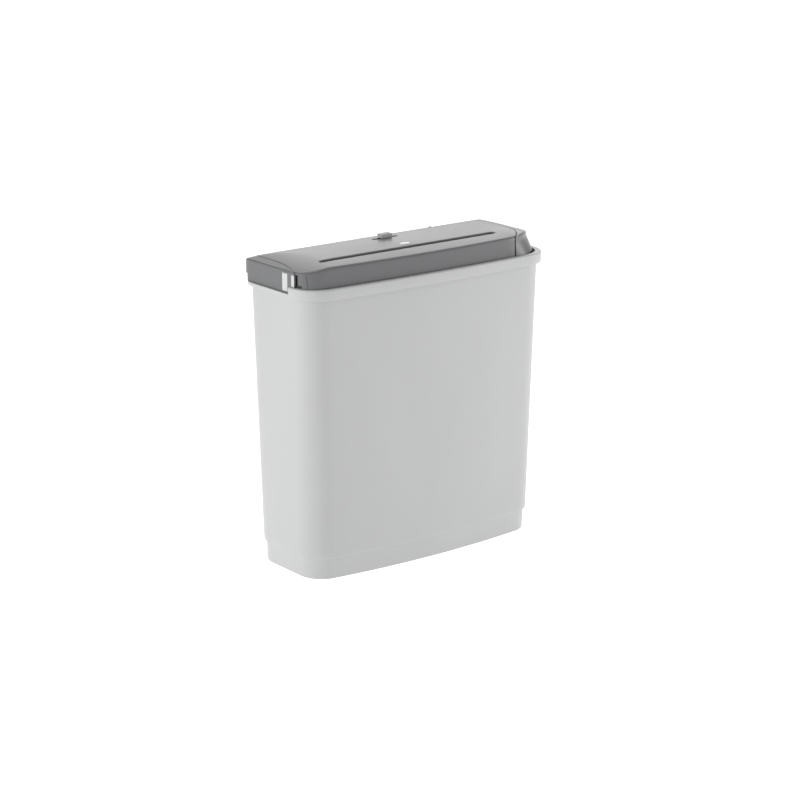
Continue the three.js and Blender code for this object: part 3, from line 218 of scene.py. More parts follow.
def carried(rings):
    """Rings of points, one above another, as a closed skin: each ring joins the next, and
    the first and the last close on the mean of their points."""
    rings = np.array(rings, float)
    count, around = rings.shape[:2]
    faces = rows_of_quads(count, around, True).tolist()
    points = np.vstack([rings.reshape(-1, 3), rings[0].mean(0), rings[-1].mean(0)])
    turn = np.arange(around)
    first, last = count * around, count * around + 1
    top = (count - 1) * around
    faces += [[first, int(b), int(a)] for a, b in zip(turn, (turn + 1) % around)]
    faces += [[last, int(top + a), int(top + b)] for a, b in zip(turn, (turn + 1) % around)]
    return points, faces


def make(name, points, faces, material, body, slot, stands_for=()):
    """Puts a piece into the scene: millimetres become metres, coincident points merge,
    faces turn outwards, and edges that bend by more than 32 degrees stay sharp."""
    mesh = bpy.data.meshes.new(name)
    mesh.from_pydata((np.asarray(points, float) / 1000).tolist(), [],
                     [[int(i) for i in f] for f in faces])
    piece = bpy.data.objects.new(name, mesh)
    scene.collection.objects.link(piece)
    bpy.context.view_layer.objects.active = piece
    for other in bpy.context.selected_objects:
        other.select_set(False)
    piece.select_set(True)
    bpy.ops.object.mode_set(mode="EDIT")
    bpy.ops.mesh.select_all(action="SELECT")
    bpy.ops.mesh.remove_doubles(threshold=2e-6)
    bpy.ops.mesh.dissolve_degenerate(threshold=1e-6)
    bpy.ops.mesh.normals_make_consistent(inside=False)
    bpy.ops.object.mode_set(mode="OBJECT")
    piece.data.materials.clear()
    piece.data.materials.append(material)
    piece.data.shade_smooth()
    piece.data.set_sharp_from_angle(angle=math.radians(32))
    if stands_for:
        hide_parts(*stands_for)
    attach(piece, body)
    return piece


def moulded_skin():
    """Node group for moulded plastic: a spark-eroded grain as a normal, and slow changes
    of tone and gloss where the melt flowed."""
    group = bpy.data.node_groups.new("moulded_skin", "ShaderNodeTree")
    for way, kind, socket in (
            ("INPUT", "Vector", "Where"), ("INPUT", "Color", "Tone"),
            ("INPUT", "Float", "Grain Size"), ("INPUT", "Float", "Grain Depth"),
            ("INPUT", "Float", "Gloss Loss"), ("OUTPUT", "Color", "Tone"),
            ("OUTPUT", "Float", "Roughness"), ("OUTPUT", "Vector", "Normal")):
        group.interface.new_socket(socket, in_out=way, socket_type="NodeSocket" + kind)
    start = group.nodes.new("NodeGroupInput")
    stop = group.nodes.new("NodeGroupOutput")
    where = start.outputs["Where"]
    grain = place(group, "ShaderNodeTexNoise", {
        "Vector": where, "Scale": start.outputs["Grain Size"], "Detail": 3.0, "Roughness": 0.6})
    pits = place(group, "ShaderNodeTexVoronoi", {
        "Vector": where, "Scale": start.outputs["Grain Size"]}, feature="F1")
    both = place(group, "ShaderNodeMath", {
        0: grain.outputs["Fac"], 1: pits.outputs["Distance"]}, operation="ADD")
    flow = place(group, "ShaderNodeTexNoise", {
        "Vector": place(group, "ShaderNodeMapping", {
            "Vector": where, "Scale": (1.0, 1.0, 0.35)}).outputs["Vector"],
        "Scale": 9.0, "Detail": 2.0, "Distortion": 0.6})
    shade = place(group, "ShaderNodeMapRange", {
        "Value": flow.outputs["Fac"], "From Min": 0.3, "From Max": 0.7,
        "To Min": 0.975, "To Max": 1.015})
    speck = place(group, "ShaderNodeMapRange", {
        "Value": grain.outputs["Fac"], "From Min": 0.3, "From Max": 0.7,
        "To Min": 0.98, "To Max": 1.02})
    tone = place(group, "ShaderNodeMath", {
        0: shade.outputs["Result"], 1: speck.outputs["Result"]}, operation="MULTIPLY")
    coloured = place(group, "ShaderNodeVectorMath", {
        0: start.outputs["Tone"]}, operation="SCALE")
    group.links.new(tone.outputs["Value"], coloured.inputs["Scale"])
    rough = place(group, "ShaderNodeMath", {
        0: shade.outputs["Result"], 1: -1.0}, operation="MULTIPLY_ADD")
    rough.inputs[2].default_value = 1.0
    spread_out = place(group, "ShaderNodeMath", {
        0: rough.outputs["Value"], 1: 1.2}, operation="MULTIPLY_ADD")
    group.links.new(start.outputs["Gloss Loss"], spread_out.inputs[2])
    bump = place(group, "ShaderNodeBump", {
        "Height": both.outputs["Value"], "Distance": 0.0001})
    group.links.new(start.outputs["Grain Depth"], bump.inputs["Strength"])
    group.links.new(coloured.outputs["Vector"], stop.inputs["Tone"])
    group.links.new(spread_out.outputs["Value"], stop.inputs["Roughness"])
    group.links.new(bump.outputs["Normal"], stop.inputs["Normal"])
    return group


skin_group = moulded_skin()


def moulded(name, tone, rough, size, depth):
    """Moulded plastic of one tone."""
    def varied(tree, local):
        skin = place(tree, "ShaderNodeGroup", node_tree=skin_group)
        tree.links.new(local, skin.inputs["Where"])
        for key, value in (("Tone", (*tone, 1)), ("Grain Size", size),
                           ("Grain Depth", depth), ("Gloss Loss", rough)):
            skin.inputs[key].default_value = value
        return {"Base Color": skin.outputs["Tone"], "Roughness": skin.outputs["Roughness"],
                "Normal": skin.outputs["Normal"]}
    return finish(name, {}, varied)


def bin_ring(offset, z):
    """The bin's wall at height z, moved out by offset: draft shrinks it, and its bow
    grows, evenly towards the foot."""
    left = 1 - z / DECK
    draft = 6.5 * left - offset
    corner = max(25 + offset, 1.5)
    return plan(150.5 - draft, 57 - draft, 5.7 + 5.0 * left,
                (corner, corner, NOTCH), (corner, corner, NOTCH))


def waste_bin():
    """The bin's profile, out and up from the underside and back down to the floor,
    carried round its plan. In the notches no point is higher than the notch's floor."""
    outer = softened(
        [(-14, 0), (-2.5, 0), (-2.5, 22.5), (0, 22.5), (0, 30)], [1.2, 0.3, 0.9])
    wall = np.column_stack([np.zeros(10), np.linspace(30, 285, 10)])[1:]
    under = softened(
        [(0, 285), (0, 298), (2.5, 298), (2.5, 289), (4.5, 289), (4.5, 294)],
        [0.5, 0.5, 0.35, 0.5])[1:]
    rim = softened([(4.5, 294), (4.5, 300), (-2.2, 300), (-2.2, 290)], [1.7, 0.8])[1:]
    inner = np.column_stack([np.full(9, -2.2), np.linspace(290, 34, 9)])[1:]
    base = softened([(-2.2, 34), (-2.2, 24.7), (-4.7, 24.7), (-4.7, 2.5), (-18, 2.5)],
                    [1, 0.6, 4])[1:]
    profile = np.vstack([outer, wall, under, rim, inner, base])
    ledge = np.full(len(profile), NOTCH_FLOOR)
    below = len(outer) + len(wall)
    ledge[below:below + len(under) - 6] = SKIN_FLOOR
    rings = []
    for (offset, z), low in zip(profile, ledge):
        loop = bin_ring(offset, z)
        cut = (np.abs(loop[:, 0]) > NOTCH_X) & (loop[:, 1] > NOTCH[0]) & (loop[:, 1] < NOTCH[1])
        rings.append(np.column_stack([loop, np.where(cut, min(z, low), z)]))
    for share in (0.8, 0.5, 0.2):
        rings.insert(0, rings[0] * [share, share, 1])
        rings.append(rings[-1] * [share, share, 1])
    return carried(rings)


bin_plastic = moulded("bin_polypropylene", (0.545, 0.548, 0.55), 0.42, size=1300.0, depth=0.22)
make("bin_moulding", *waste_bin(), bin_plastic, "bin", "bin_plastic", ["waste_bin"])


def pad(x, y, base, height):
    """A closed block under the surface height(x, y): a grid of points whose border drops
    to base, and a face that closes it below."""
    gx, gy = np.meshgrid(np.concatenate([x[:1], x, x[-1:]]), np.concatenate([y[:1], y, y[-1:]]))
    z = height(gx, gy)
    z[0], z[-1], z[:, 0], z[:, -1] = base, base, base, base
    rows, columns = gx.shape
    index = np.arange(rows * columns).reshape(rows, columns)
    loop = np.concatenate([index[0], index[1:, -1], index[-1, -2::-1], index[-2:0:-1, 0]])
    faces = rows_of_quads(rows, columns, False).tolist()
    faces.append(loop[::-1].tolist())
    return np.column_stack([gx.ravel(), gy.ravel(), z.ravel()]), faces


def rounded_top(x0, x1, y0, y1, top, radius):
    """Height of a block with rounded upper edges: near an edge it falls by the radius less
    the arc's height."""
    def height(gx, gy):
        near = np.minimum(np.minimum(gx - x0, x1 - gx), np.minimum(gy - y0, y1 - gy))
        short = radius - np.minimum(near, radius)
        return top - (radius - np.sqrt(np.maximum(radius ** 2 - short ** 2, 0)))
    return height


def steps_in(low, high, radius, middle):
    """Stops across a block, close together where its edges are rounded."""
    turn = radius * (1 - np.cos(np.linspace(0, math.pi / 2, 5)))
    return np.concatenate([low + turn, np.linspace(low + radius, high - radius, middle + 2)[1:-1],
                           (high - turn)[::-1]])


def block(name, x0, x1, y0, y1, z0, z1, radius, material, body, slot):
    """A plain block with rounded upper edges."""
    return make(name, *pad(steps_in(x0, x1, radius, 4), steps_in(y0, y1, radius, 4), z0,
                           rounded_top(x0, x1, y0, y1, z1, radius)),
                material, body, slot)


block("switch_post", 140.8, 148.6, -14, -6, 266, DECK - 6.3, 0.8, bin_plastic, "bin",
      "bin_plastic")


# --------------------------------------------------------------- top cover
# The head's main moulding in mid-grey ABS: an upright front, a crowned top that
# rolls down behind, a feed slot with soft lips, and openings for switch and lens.

SEAM = 0.45
WALL = 2.2
HEAD_LENGTH, HEAD_DEPTH, HEAD_BOW = 152.5, 56.5, 5.7
LEFT_RADIUS, LEFT_BACK_RADIUS = 22, 14
LEAN_TOP = DECK + 15
RIGHT_SEAM_X, RIGHT_SEAM_Y, RIGHT_SEAM_RADIUS = 61, -4, 71
LENS_LENGTH, LENS_WIDTH = 12.4, 7.2
FOOT_GAP = 0.3


def bezier(a, b, c):
    """A parabola from a to c that leaves and arrives towards b."""
    t = np.linspace(0, 1, 200)[:, None]
    return (1 - t) ** 2 * np.array(a) + 2 * t * (1 - t) * np.array(b) + t ** 2 * np.array(c)


across = np.vstack([bezier((-62.2, 320.3), (-18, 325), (27, 321)),
                    bezier((27, 321), (49.2, 318.5), (62.2, 303))[1:]])
along = np.vstack([bezier((-152.5, 315), (-128, 323.3), (-95, 323.5)),
                   bezier((95, 323.5), (128, 323.3), (152.5, 315))])


def head_top(x, y):
    """Height of the head's upper surface: the lower of its section across and its section
    along, blended softly where they meet."""
    a = np.interp(y, across[:, 0], across[:, 1])
    b = np.interp(x, along[:, 0], along[:, 1])
    return np.minimum(a, b) - 0.35 * np.log1p(np.exp(-np.abs(a - b) / 0.35))


def head_plan(right_radius):
    """The head's outline at one height. Its right corners lean in: their radius is 40 mm
    at the foot and 56 mm from 15 mm up."""
    loop = plan(HEAD_LENGTH, HEAD_DEPTH, HEAD_BOW, (right_radius, right_radius, ()),
                (LEFT_RADIUS, LEFT_BACK_RADIUS, ()))
    return np.vstack([loop, loop[:1]])


foot_loop, top_loop = head_plan(40), head_plan(56)


def outline(start, stop, counts, loop=top_loop):
    """Points on the head's outline from start to stop, anticlockwise; each of them is the
    point of the outline nearest to a given one, and counts lie between the stops given."""
    fine = np.vstack([np.column_stack([np.linspace(a[0], b[0], 40, endpoint=False),
                                       np.linspace(a[1], b[1], 40, endpoint=False)])
                      for a, b in zip(loop[:-1], loop[1:])])
    reach = np.concatenate([[0], np.cumsum(np.linalg.norm(np.diff(fine, axis=0), axis=1))])
    total = reach[-1] + np.linalg.norm(fine[0] - fine[-1])
    spots = [reach[np.argmin(np.linalg.norm(fine - np.array(p), axis=1))]
             for p in [start, *[c for c in counts if isinstance(c, tuple)], stop]]
    spots = np.array(spots)
    spots[1:] += total * (np.cumsum(np.diff(spots) < 0))
    steps = spread(list(spots), [c for c in counts if isinstance(c, int)])
    twice = np.vstack([fine, fine])
    reach = np.concatenate([reach, reach + total])
    return np.column_stack([np.interp(steps, reach, twice[:, 0]),
                            np.interp(steps, reach, twice[:, 1])])


def both_outlines(start, stop, counts):
    """The same run of the outline at the top and at the foot of the walls."""
    return outline(start, stop, counts), outline(start, stop, counts, foot_loop)


def meet(radius, sign):
    """Where a circle of that radius about the right seam's centre crosses the outline."""
    def past(p):
        return np.hypot(p[..., 0] - RIGHT_SEAM_X, p[..., 1] - RIGHT_SEAM_Y) - radius

    fine = top_loop[top_loop[:, 0] > RIGHT_SEAM_X]
    fine = fine[np.sign(fine[:, 1]) == sign]
    a, b = fine[np.argsort(np.abs(past(fine)))[:2]]
    da, db = past(a), past(b)
    return a + (b - a) * da / (da - db)


def inward(loop):
    """Unit vectors pointing into an open anticlockwise line of points."""
    along_it = np.gradient(loop, axis=0)
    normal = np.column_stack([-along_it[:, 1], along_it[:, 0]])
    return normal / np.linalg.norm(normal, axis=1)[:, None]


def wall_rows(edges, bottoms, radius, relief, levels):
    """Outer and inner rows of a wall below an edge line: a quarter round of the radius
    under the top surface, then down to the bottoms, leaning from the outline at the top to
    the one at the foot over the lowest 15 mm. The inner rows lie a wall's thickness in.
    Relief(height) moves the rows inwards."""
    edge, foot = edges
    normal, foot_normal = inward(edge), inward(foot)
    radius = np.broadcast_to(radius, len(edge))
    inset = edge + normal * radius[:, None]
    top = head_top(inset[:, 0], inset[:, 1])
    outer, inner = [], []
    for angle in np.radians(np.linspace(90, 0, 6)):
        for rows, r, deep in ((outer, radius, 0.0), (inner, radius - WALL, WALL)):
            back = deep + r * (1 - math.cos(angle))
            rows.append(np.column_stack([edge + normal * back[:, None],
                                         top - deep - r * (1 - math.sin(angle))]))
    start = top - radius
    for share in np.linspace(0, 1, levels)[1:]:
        z = start * (1 - share) + bottoms * share
        lean = np.clip((z - DECK) / (np.minimum(start, LEAN_TOP) - DECK), 0, 1)[:, None]
        line = edge * lean + foot * (1 - lean)
        push = relief(z)[:, None] if relief else np.zeros((len(edge), 1))
        turned = normal * lean + foot_normal * (1 - lean)
        outer.append(np.column_stack([line + turned * push, z]))
        inner.append(np.column_stack([line + turned * (WALL + push), z]))
    return np.array(outer), np.array(inner)


def shell(grids):
    """A closed wall from pairs of matching outer and inner grids: the outer faces, the
    inner faces turned round, and a strip of faces along every free edge."""
    outer, inner, faces, count = [], [], [], 0
    for out, back in grids:
        rows, columns = out.shape[:2]
        faces.append(rows_of_quads(rows, columns, False) + count)
        outer.append(out.reshape(-1, 3))
        inner.append(back.reshape(-1, 3))
        count += rows * columns
    outer, inner, faces = np.vstack(outer), np.vstack(inner), np.vstack(faces)
    _, first, same = np.unique(np.round(outer, 3), axis=0, return_index=True, return_inverse=True)
    faces = same.ravel()[faces]
    outer, inner = outer[first], inner[first]
    sides = np.stack([faces, np.roll(faces, -1, 1)], -1).reshape(-1, 2)
    sides = sides[sides[:, 0] != sides[:, 1]]
    low, high = sides.min(1), sides.max(1)
    _, where, times = np.unique(low * len(outer) + high, return_index=True, return_counts=True)
    free = sides[where[times == 1]]
    shift = len(outer)
    strips = np.column_stack([free[:, 1], free[:, 0], free[:, 0] + shift, free[:, 1] + shift])
    quads = np.vstack([faces, faces[:, ::-1] + shift, strips])
    tidy = []
    for quad in quads.tolist():
        kept = [q for k, q in enumerate(quad) if q != quad[k - 1]]
        if len(set(kept)) > 2:
            tidy.append(kept)
    return np.vstack([outer, inner]), tidy


def top_pair(xy):
    """Outer and inner points of the top surface above a grid of (x, y)."""
    z = head_top(xy[..., 0], xy[..., 1])
    return np.dstack([xy, z]), np.dstack([xy, z - WALL])


def opening(border, shape, lip):
    """A ring of skin from a border loop to an opening: even steps, then a lip that rounds
    down into the opening. Shape(grow) is the opening's outline, grown by that much."""
    rows = [border * (1 - s) + shape(lip) * s for s in np.linspace(0, 1, 4)]
    outer, inner = top_pair(np.array(rows))
    more_out, more_in = [], []
    for angle in np.radians(np.linspace(0, 90, 5))[1:]:
        loop = shape(lip * (1 - math.sin(angle)))
        z = head_top(loop[:, 0], loop[:, 1]) - lip * (1 - math.cos(angle))
        more_out.append(np.column_stack([loop, z]))
        more_in.append(np.column_stack([loop, head_top(loop[:, 0], loop[:, 1]) - WALL]))
    outer = np.concatenate([outer, np.array(more_out)])
    inner = np.concatenate([inner, np.array(more_in)])
    return (np.concatenate([outer, outer[:, :1]], 1), np.concatenate([inner, inner[:, :1]], 1))


def capsule(cx, cy, length, width, long_count, end_count):
    """Outline of a round-ended slot, grown on demand: front side, right end, back side,
    left end, anticlockwise, as many points as its border has."""
    def shape(grow):
        r = width / 2 + grow
        reach = (length - width) / 2
        side = np.linspace(-reach, reach, long_count + 1)[:-1]
        turn = np.radians(np.linspace(-90, 90, end_count + 1))[:-1]
        x = np.concatenate([side, reach + r * np.cos(turn), -side, -reach - r * np.cos(turn)])
        y = np.concatenate([np.full(long_count, -r), r * np.sin(turn), np.full(long_count, r),
                            -r * np.sin(turn)])
        return np.column_stack([cx + x, cy + y])
    return shape


def oval(cx, cy, half_length, half_width, long_count, end_count):
    """Outline of an oval, grown on demand, with points that face those of its border."""
    def shape(grow):
        corner = math.degrees(math.atan2(half_width, half_length))
        turn = np.radians(spread([-180 + corner, -corner, corner, 180 - corner, 180 + corner],
                                 [long_count, end_count, long_count, end_count]))[:-1]
        return np.column_stack([cx + (half_length + grow) * np.cos(turn),
                                cy + (half_width + grow) * np.sin(turn)])
    return shape


def border_of(xs, ys, i0, i1, j0, j1):
    """The loop of grid points round a block of cells, anticlockwise from its front left."""
    wide, deep = i1 - i0, j1 - j0
    x = np.concatenate([xs[i0:i1], np.full(deep, xs[i1]), xs[i1:i0:-1], np.full(deep, xs[i0])])
    y = np.concatenate([np.full(wide, ys[j0]), ys[j0:j1], np.full(wide, ys[j1]), ys[j1:j0:-1]])
    return np.column_stack([x, y])


xs = spread([-137, -127, -125.5, -25, -16, 0, 15, 101, 106], [48, 1, 44, 6, 8, 8, 40, 3])
ys = spread([-46, -41.5, -29.7, -27.5, -18.5, 8, 20, 44], [4, 10, 2, 6, 10, 8, 10])
at_x = lambda v: int(np.argmin(np.abs(xs - v)))
at_y = lambda v: int(np.argmin(np.abs(ys - v)))
blocks = [(at_x(-125.5), at_x(101), at_y(-41.5), at_y(-29.7)),
          (at_x(-25), at_x(15), at_y(8), at_y(20)),
          (at_x(-16), at_x(0), at_y(-27.5), at_y(-18.5))]
feed = capsule(-12.2, -35.6, 220, 6, blocks[0][1] - blocks[0][0], 10)
track = capsule(-5, 14, 32, 5, blocks[1][1] - blocks[1][0], 8)
eye = oval(-8, -23, LENS_LENGTH / 2 + FOOT_GAP, LENS_WIDTH / 2 + FOOT_GAP,
           blocks[2][1] - blocks[2][0], 6)

LEFT_SEAM = -143.5
CAP_FRONT = -36.0
left_foot = (LEFT_RADIUS - HEAD_LENGTH - math.sqrt(
    LEFT_RADIUS ** 2 - (CAP_FRONT + HEAD_DEPTH - LEFT_RADIUS) ** 2), CAP_FRONT)
front_end, back_end = (meet(RIGHT_SEAM_RADIUS - SEAM, sign) for sign in (-1, 1))
corner_stops = [1, (-152.43, -36.5), 8, (-150.3, -44.2), 1, (-150.0, -44.8), 6,
                (-148.2, -47.8), 24, (-144.4, -52.6), 8, (-126, -58.4)]


def left_seam(y, shift):
    """The left seam in plan: straight from the back, then bending out to the corner with
    the square of the distance gone."""
    share = np.clip((8 - y) / (8 - CAP_FRONT), 0, 1)
    return LEFT_SEAM + shift + (left_foot[0] - LEFT_SEAM - shift) * share ** 2


def right_seam(angles, radius):
    """The right seam in plan: an arc of that radius about its centre."""
    return np.column_stack([RIGHT_SEAM_X + radius * np.cos(angles),
                            RIGHT_SEAM_Y + radius * np.sin(angles)])


def corner_relief(edge):
    """Moves the wall in at the front left corner: a deep upright recess beside the end
    cap, and a fine slanted joint line a little further on."""
    reach = np.concatenate([[0], np.cumsum(np.linalg.norm(np.diff(edge, axis=0), axis=1))])

    def relief(z):
        recess = 3.2 * ((reach < 9.0) & (z < 316))
        slant = 13.6 + (316 - z) * 0.13
        return recess + 0.6 * np.clip(1 - np.abs(reach - slant) / 0.45, 0, 1)
    return relief


def top_cover():
    """A grid over the crowned top with a ring of skin round each opening, a band of skin
    out to the seams and the outline, and upright walls in front and behind."""
    keep = np.ones((len(ys) - 1, len(xs) - 1), bool)
    for i0, i1, j0, j1 in blocks:
        keep[j0:j1, i0:i1] = False
    grids = []
    for j in range(len(ys) - 1):
        runs = np.flatnonzero(np.diff(np.concatenate([[0], keep[j].astype(int), [0]])))
        for a, b in zip(runs[::2], runs[1::2]):
            gx, gy = np.meshgrid(xs[a:b + 1], ys[j:j + 2])
            grids.append(top_pair(np.dstack([gx, gy])))
    for (i0, i1, j0, j1), shape, lip in zip(blocks, (feed, track, eye), (1.3, 0.5, 0.4)):
        grids.append(opening(border_of(xs, ys, i0, i1, j0, j1), shape, lip))
    nx, ny = len(xs) - 1, len(ys) - 1
    fronts = both_outlines(left_foot, front_end, [*corner_stops, nx - at_x(-127)])
    backs = both_outlines(back_end, (LEFT_SEAM + SEAM, HEAD_DEPTH), [nx])
    front, back = fronts[0], backs[0]
    turn = np.linspace(0, 1, ny + 1)
    angle_a = math.atan2(front_end[1] - RIGHT_SEAM_Y, front_end[0] - RIGHT_SEAM_X)
    angle_b = math.atan2(back_end[1] - RIGHT_SEAM_Y, back_end[0] - RIGHT_SEAM_X)
    arc = right_seam(angle_a + (angle_b - angle_a) * turn, RIGHT_SEAM_RADIUS - SEAM)
    arc[0], arc[-1] = front[-1], back[0]
    seam_y = back[-1][1] + (CAP_FRONT - back[-1][1]) * turn
    seam = np.column_stack([left_seam(seam_y, SEAM), seam_y])
    radius = 2.6
    front_top = front + inward(front) * radius
    back_top = back + inward(back) * 0.8
    arc_top, seam_top = arc.copy(), seam.copy()
    arc_top[0], arc_top[-1] = front_top[-1], back_top[0]
    seam_top[0], seam_top[-1] = back_top[-1], front_top[0]
    rim = np.vstack([front_top[:-1], arc_top[:-1], back_top[:-1], seam_top])
    border = border_of(xs, ys, 0, nx, 0, ny)
    border = np.vstack([border, border[:1]])
    rows = np.array([border * (1 - s) + rim * s for s in np.linspace(0, 1, 7)])
    grids.append(top_pair(rows))
    low = DECK + FOOT_GAP
    grids.append(wall_rows(fronts, np.full(len(front), low), radius, corner_relief(front), 16))
    grids.append(wall_rows(backs, np.full(len(back), low), 0.8, None, 6))
    return shell(grids)


cover_plastic = moulded("cover_abs", (0.145, 0.147, 0.151), 0.3, size=1700.0, depth=0.2)
make("cover_moulding", *top_cover(), cover_plastic, "head", "cover_plastic", ["top_cover"])

# ---------------------------------------------------------------- end caps
# Two caps in the same ABS close the ends of the head, held by a screw from below.
# Their skirts drop into the notches of the bin's rim.

LEFT_SKIRT, RIGHT_SKIRT = (-28, 44), (-24, 24)
SKIRT_DEPTH = 7


def end_cap(seam, edges, skirt):
    """Skin from the seam line to the outline, a rounded edge, and a wall whose foot is
    lower between the ends of its skirt."""
    edge, foot = edges
    radius = np.minimum(1.6, np.linalg.norm(edge - seam, axis=1) * 0.45)
    normal = inward(edge)
    inset = edge + normal * radius[:, None]
    rows = np.array([seam * (1 - s) + inset * s for s in np.linspace(0, 1, 6)])
    low = (foot[:, 1] > skirt[0]) & (foot[:, 1] < skirt[1]) & (np.abs(foot[:, 0]) > NOTCH_X)
    bottoms = np.where(low, DECK - SKIRT_DEPTH, DECK + FOOT_GAP)
    return shell([top_pair(rows), wall_rows(edges, bottoms, radius, None, 10)])


cap_plastic = moulded("cap_abs", (0.145, 0.147, 0.151), 0.28, size=1700.0, depth=0.2)
left_edges = both_outlines((LEFT_SEAM - SEAM, HEAD_DEPTH), (left_foot[0], CAP_FRONT + 0.7),
                           [18, (-152.42, 44.2), 1, (-152.42, 43.8), 30, (-152.5, -27.8), 1,
                            (-152.5, -28.2), 6])
left_edge = left_edges[0]
left_line = np.column_stack([left_seam(left_edge[:, 1], -SEAM), left_edge[:, 1]])
left_line[0], left_line[-1] = left_edge[0], left_edge[-1]
make("left_cap_moulding", *end_cap(left_line, left_edges, LEFT_SKIRT), cap_plastic, "head",
     "cap_plastic", ["left_end_cap"])
right_edges = both_outlines(meet(RIGHT_SEAM_RADIUS + SEAM, -1), meet(RIGHT_SEAM_RADIUS + SEAM, 1),
                            [36, (151.8, -24.2), 1, (151.8, -23.8), 24, (151.8, 23.8), 1,
                             (151.8, 24.2), 30])
right_edge = right_edges[0]
bearing = np.arctan2(right_edge[:, 1] - RIGHT_SEAM_Y, right_edge[:, 0] - RIGHT_SEAM_X)
right_line = right_seam(bearing, RIGHT_SEAM_RADIUS + SEAM)
right_line[0], right_line[-1] = right_edge[0], right_edge[-1]
make("right_cap_moulding", *end_cap(right_line, right_edges, RIGHT_SKIRT), cap_plastic, "head",
     "cap_plastic", ["right_end_cap"])

# ----------------------------------------------------------- corner strips, painted highlights
# Satin strips painted bright as the highlights of the head's rounded ends beside its front
# corners, two at the left and one at the right, each a shallow half round stuck in its own groove.

# Painted highlight: a pale tone far above the cover's, standing in for light caught on the rounded
# corners.
highlight_strip_plastic = moulded("painted_highlight_satin", (0.62, 0.625, 0.63), 0.22, size=900.0, depth=0.06)


def highlight_strip(name, start, stop, low, high):
    """A shallow half round laid on the outline between two points: it stands out by 0.6 mm
    times the sine of its share across, and its ends are rounded off."""
    base = outline(start, stop, [14])
    normal = inward(base)
    share = np.linspace(0, 1, len(base))
    rings = []
    for z, lift in zip(spread([low, low + 0.7, high - 0.7, high], [3, 12, 3]),
                       spread([0, 1, 1, 0], [3, 12, 3])):
        out = base - normal * (0.6 * np.sin(np.pi * share) * math.sqrt(lift))[:, None]
        deep = base[::-1] + normal[::-1] * 0.8
        rings.append(np.column_stack([np.vstack([out, deep]), np.full(2 * len(base), z)]))
    # The strip's pale material is a painted highlight, not a real insert colour.
    make(name, *carried(rings), highlight_strip_plastic, "head", "cap_plastic")


highlight_strip("left_highlight_strip_1", (-152.5, -15.6), (-152.5, -24.0), 294.5, 312.2)
highlight_strip("left_highlight_strip_2", (-152.5, -30.6), (-152.45, -35.3), 300.6, 312.2)
highlight_strip("right_highlight_strip", (126.5, -52.2), (131.5, -49.2), 300.8, 311.5)

# ---------------------------------------------------- slide switch and lens
# A pale ribbed knob in its track, and a clear domed lens over the lamp.

knob_low, knob_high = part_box("switch_knob")
knob_x, knob_y = (knob_low.x + knob_high.x) * 500, (knob_low.y + knob_high.y) * 500
knob_top = knob_high.z * 1000
KNOB_LENGTH, KNOB_WIDTH, KNOB_HEIGHT, KNOB_EDGE = 13, 7.5, 4.2, 0.9
RIDGE_PITCH = 1.7
knob_sides = (knob_x - KNOB_LENGTH / 2, knob_x + KNOB_LENGTH / 2,
              knob_y - KNOB_WIDTH / 2, knob_y + KNOB_WIDTH / 2)
knob_plain = rounded_top(*knob_sides, knob_top, KNOB_EDGE)


def knob_height(gx, gy):
    """The knob's top: five grooves 1.7 mm apart, half a cosine deep, between its ends."""
    along_knob = gx - knob_x
    groove = 0.5 * (0.5 + 0.5 * np.cos(2 * np.pi * along_knob / RIDGE_PITCH)) ** 2
    return knob_plain(gx, gy) - groove * (np.abs(along_knob) < 2.5 * RIDGE_PITCH)


knob_plastic = moulded("knob_abs", (0.52, 0.525, 0.53), 0.35, size=1800.0, depth=0.15)
make("knob_cap", *pad(steps_in(*knob_sides[:2], KNOB_EDGE, 90),
                      steps_in(*knob_sides[2:], KNOB_EDGE, 6), knob_top - KNOB_HEIGHT,
                      knob_height),
     knob_plastic, "switch", "knob_plastic", ["switch_knob"])
block("knob_stem", knob_x - 3, knob_x + 3, knob_y - 1.7, knob_y + 1.7, knob_low.z * 1000,
      knob_top - 3.8, 0.3, knob_plastic, "switch", "knob_plastic")


def domed_lens():
    """Rings of the lens's oval: straight up the side, a small round edge, then a dome whose height
    is its rise times one minus the squared share of the radius."""
    low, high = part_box("indicator_lens")
    cx, cy = (low.x + high.x) * 500, (low.y + high.y) * 500
    turn = np.linspace(0, 2 * math.pi, 56, endpoint=False)
    foot, top = low.z * 1000, high.z * 1000
    rings = []
    for share, z in [(1, foot), (1, top - 1.0), (0.985, top - 0.75), (0.95, top - 0.55)] + [
            (s, top - 0.5 * s * s) for s in (0.9, 0.75, 0.6, 0.45, 0.3, 0.15)]:
        rings.append(np.column_stack([cx + LENS_LENGTH / 2 * share * np.cos(turn),
                                      cy + LENS_WIDTH / 2 * share * np.sin(turn),
                                      np.full(len(turn), z)]))
    return carried(rings)


def lens_tone(tree, local):
    """Faint cloud inside clear acrylic."""
    cloud = place(tree, "ShaderNodeTexNoise", {"Vector": local, "Scale": 260.0, "Detail": 2.0})
    rough = place(tree, "ShaderNodeMapRange", {
        "Value": cloud.outputs["Fac"], "To Min": 0.06, "To Max": 0.16})
    return {"Roughness": rough.outputs["Result"]}


make("lens_dome", *domed_lens(), finish("lens_acrylic", {
    "Base Color": (0.78, 0.8, 0.8, 1), "IOR": 1.49, "Coat Weight": 0.6,
    "Coat Roughness": 0.05}, lens_tone), "head", "lens_plastic",
    ["indicator_lens"])

# ------------------------------------------------- works inside the head
# Steel plates, cutters, gears, motor and board keep the CAD's shapes. Each gets a metal,
# resin or laminate of its own, shaped by tool marks, plating clouds or weave.


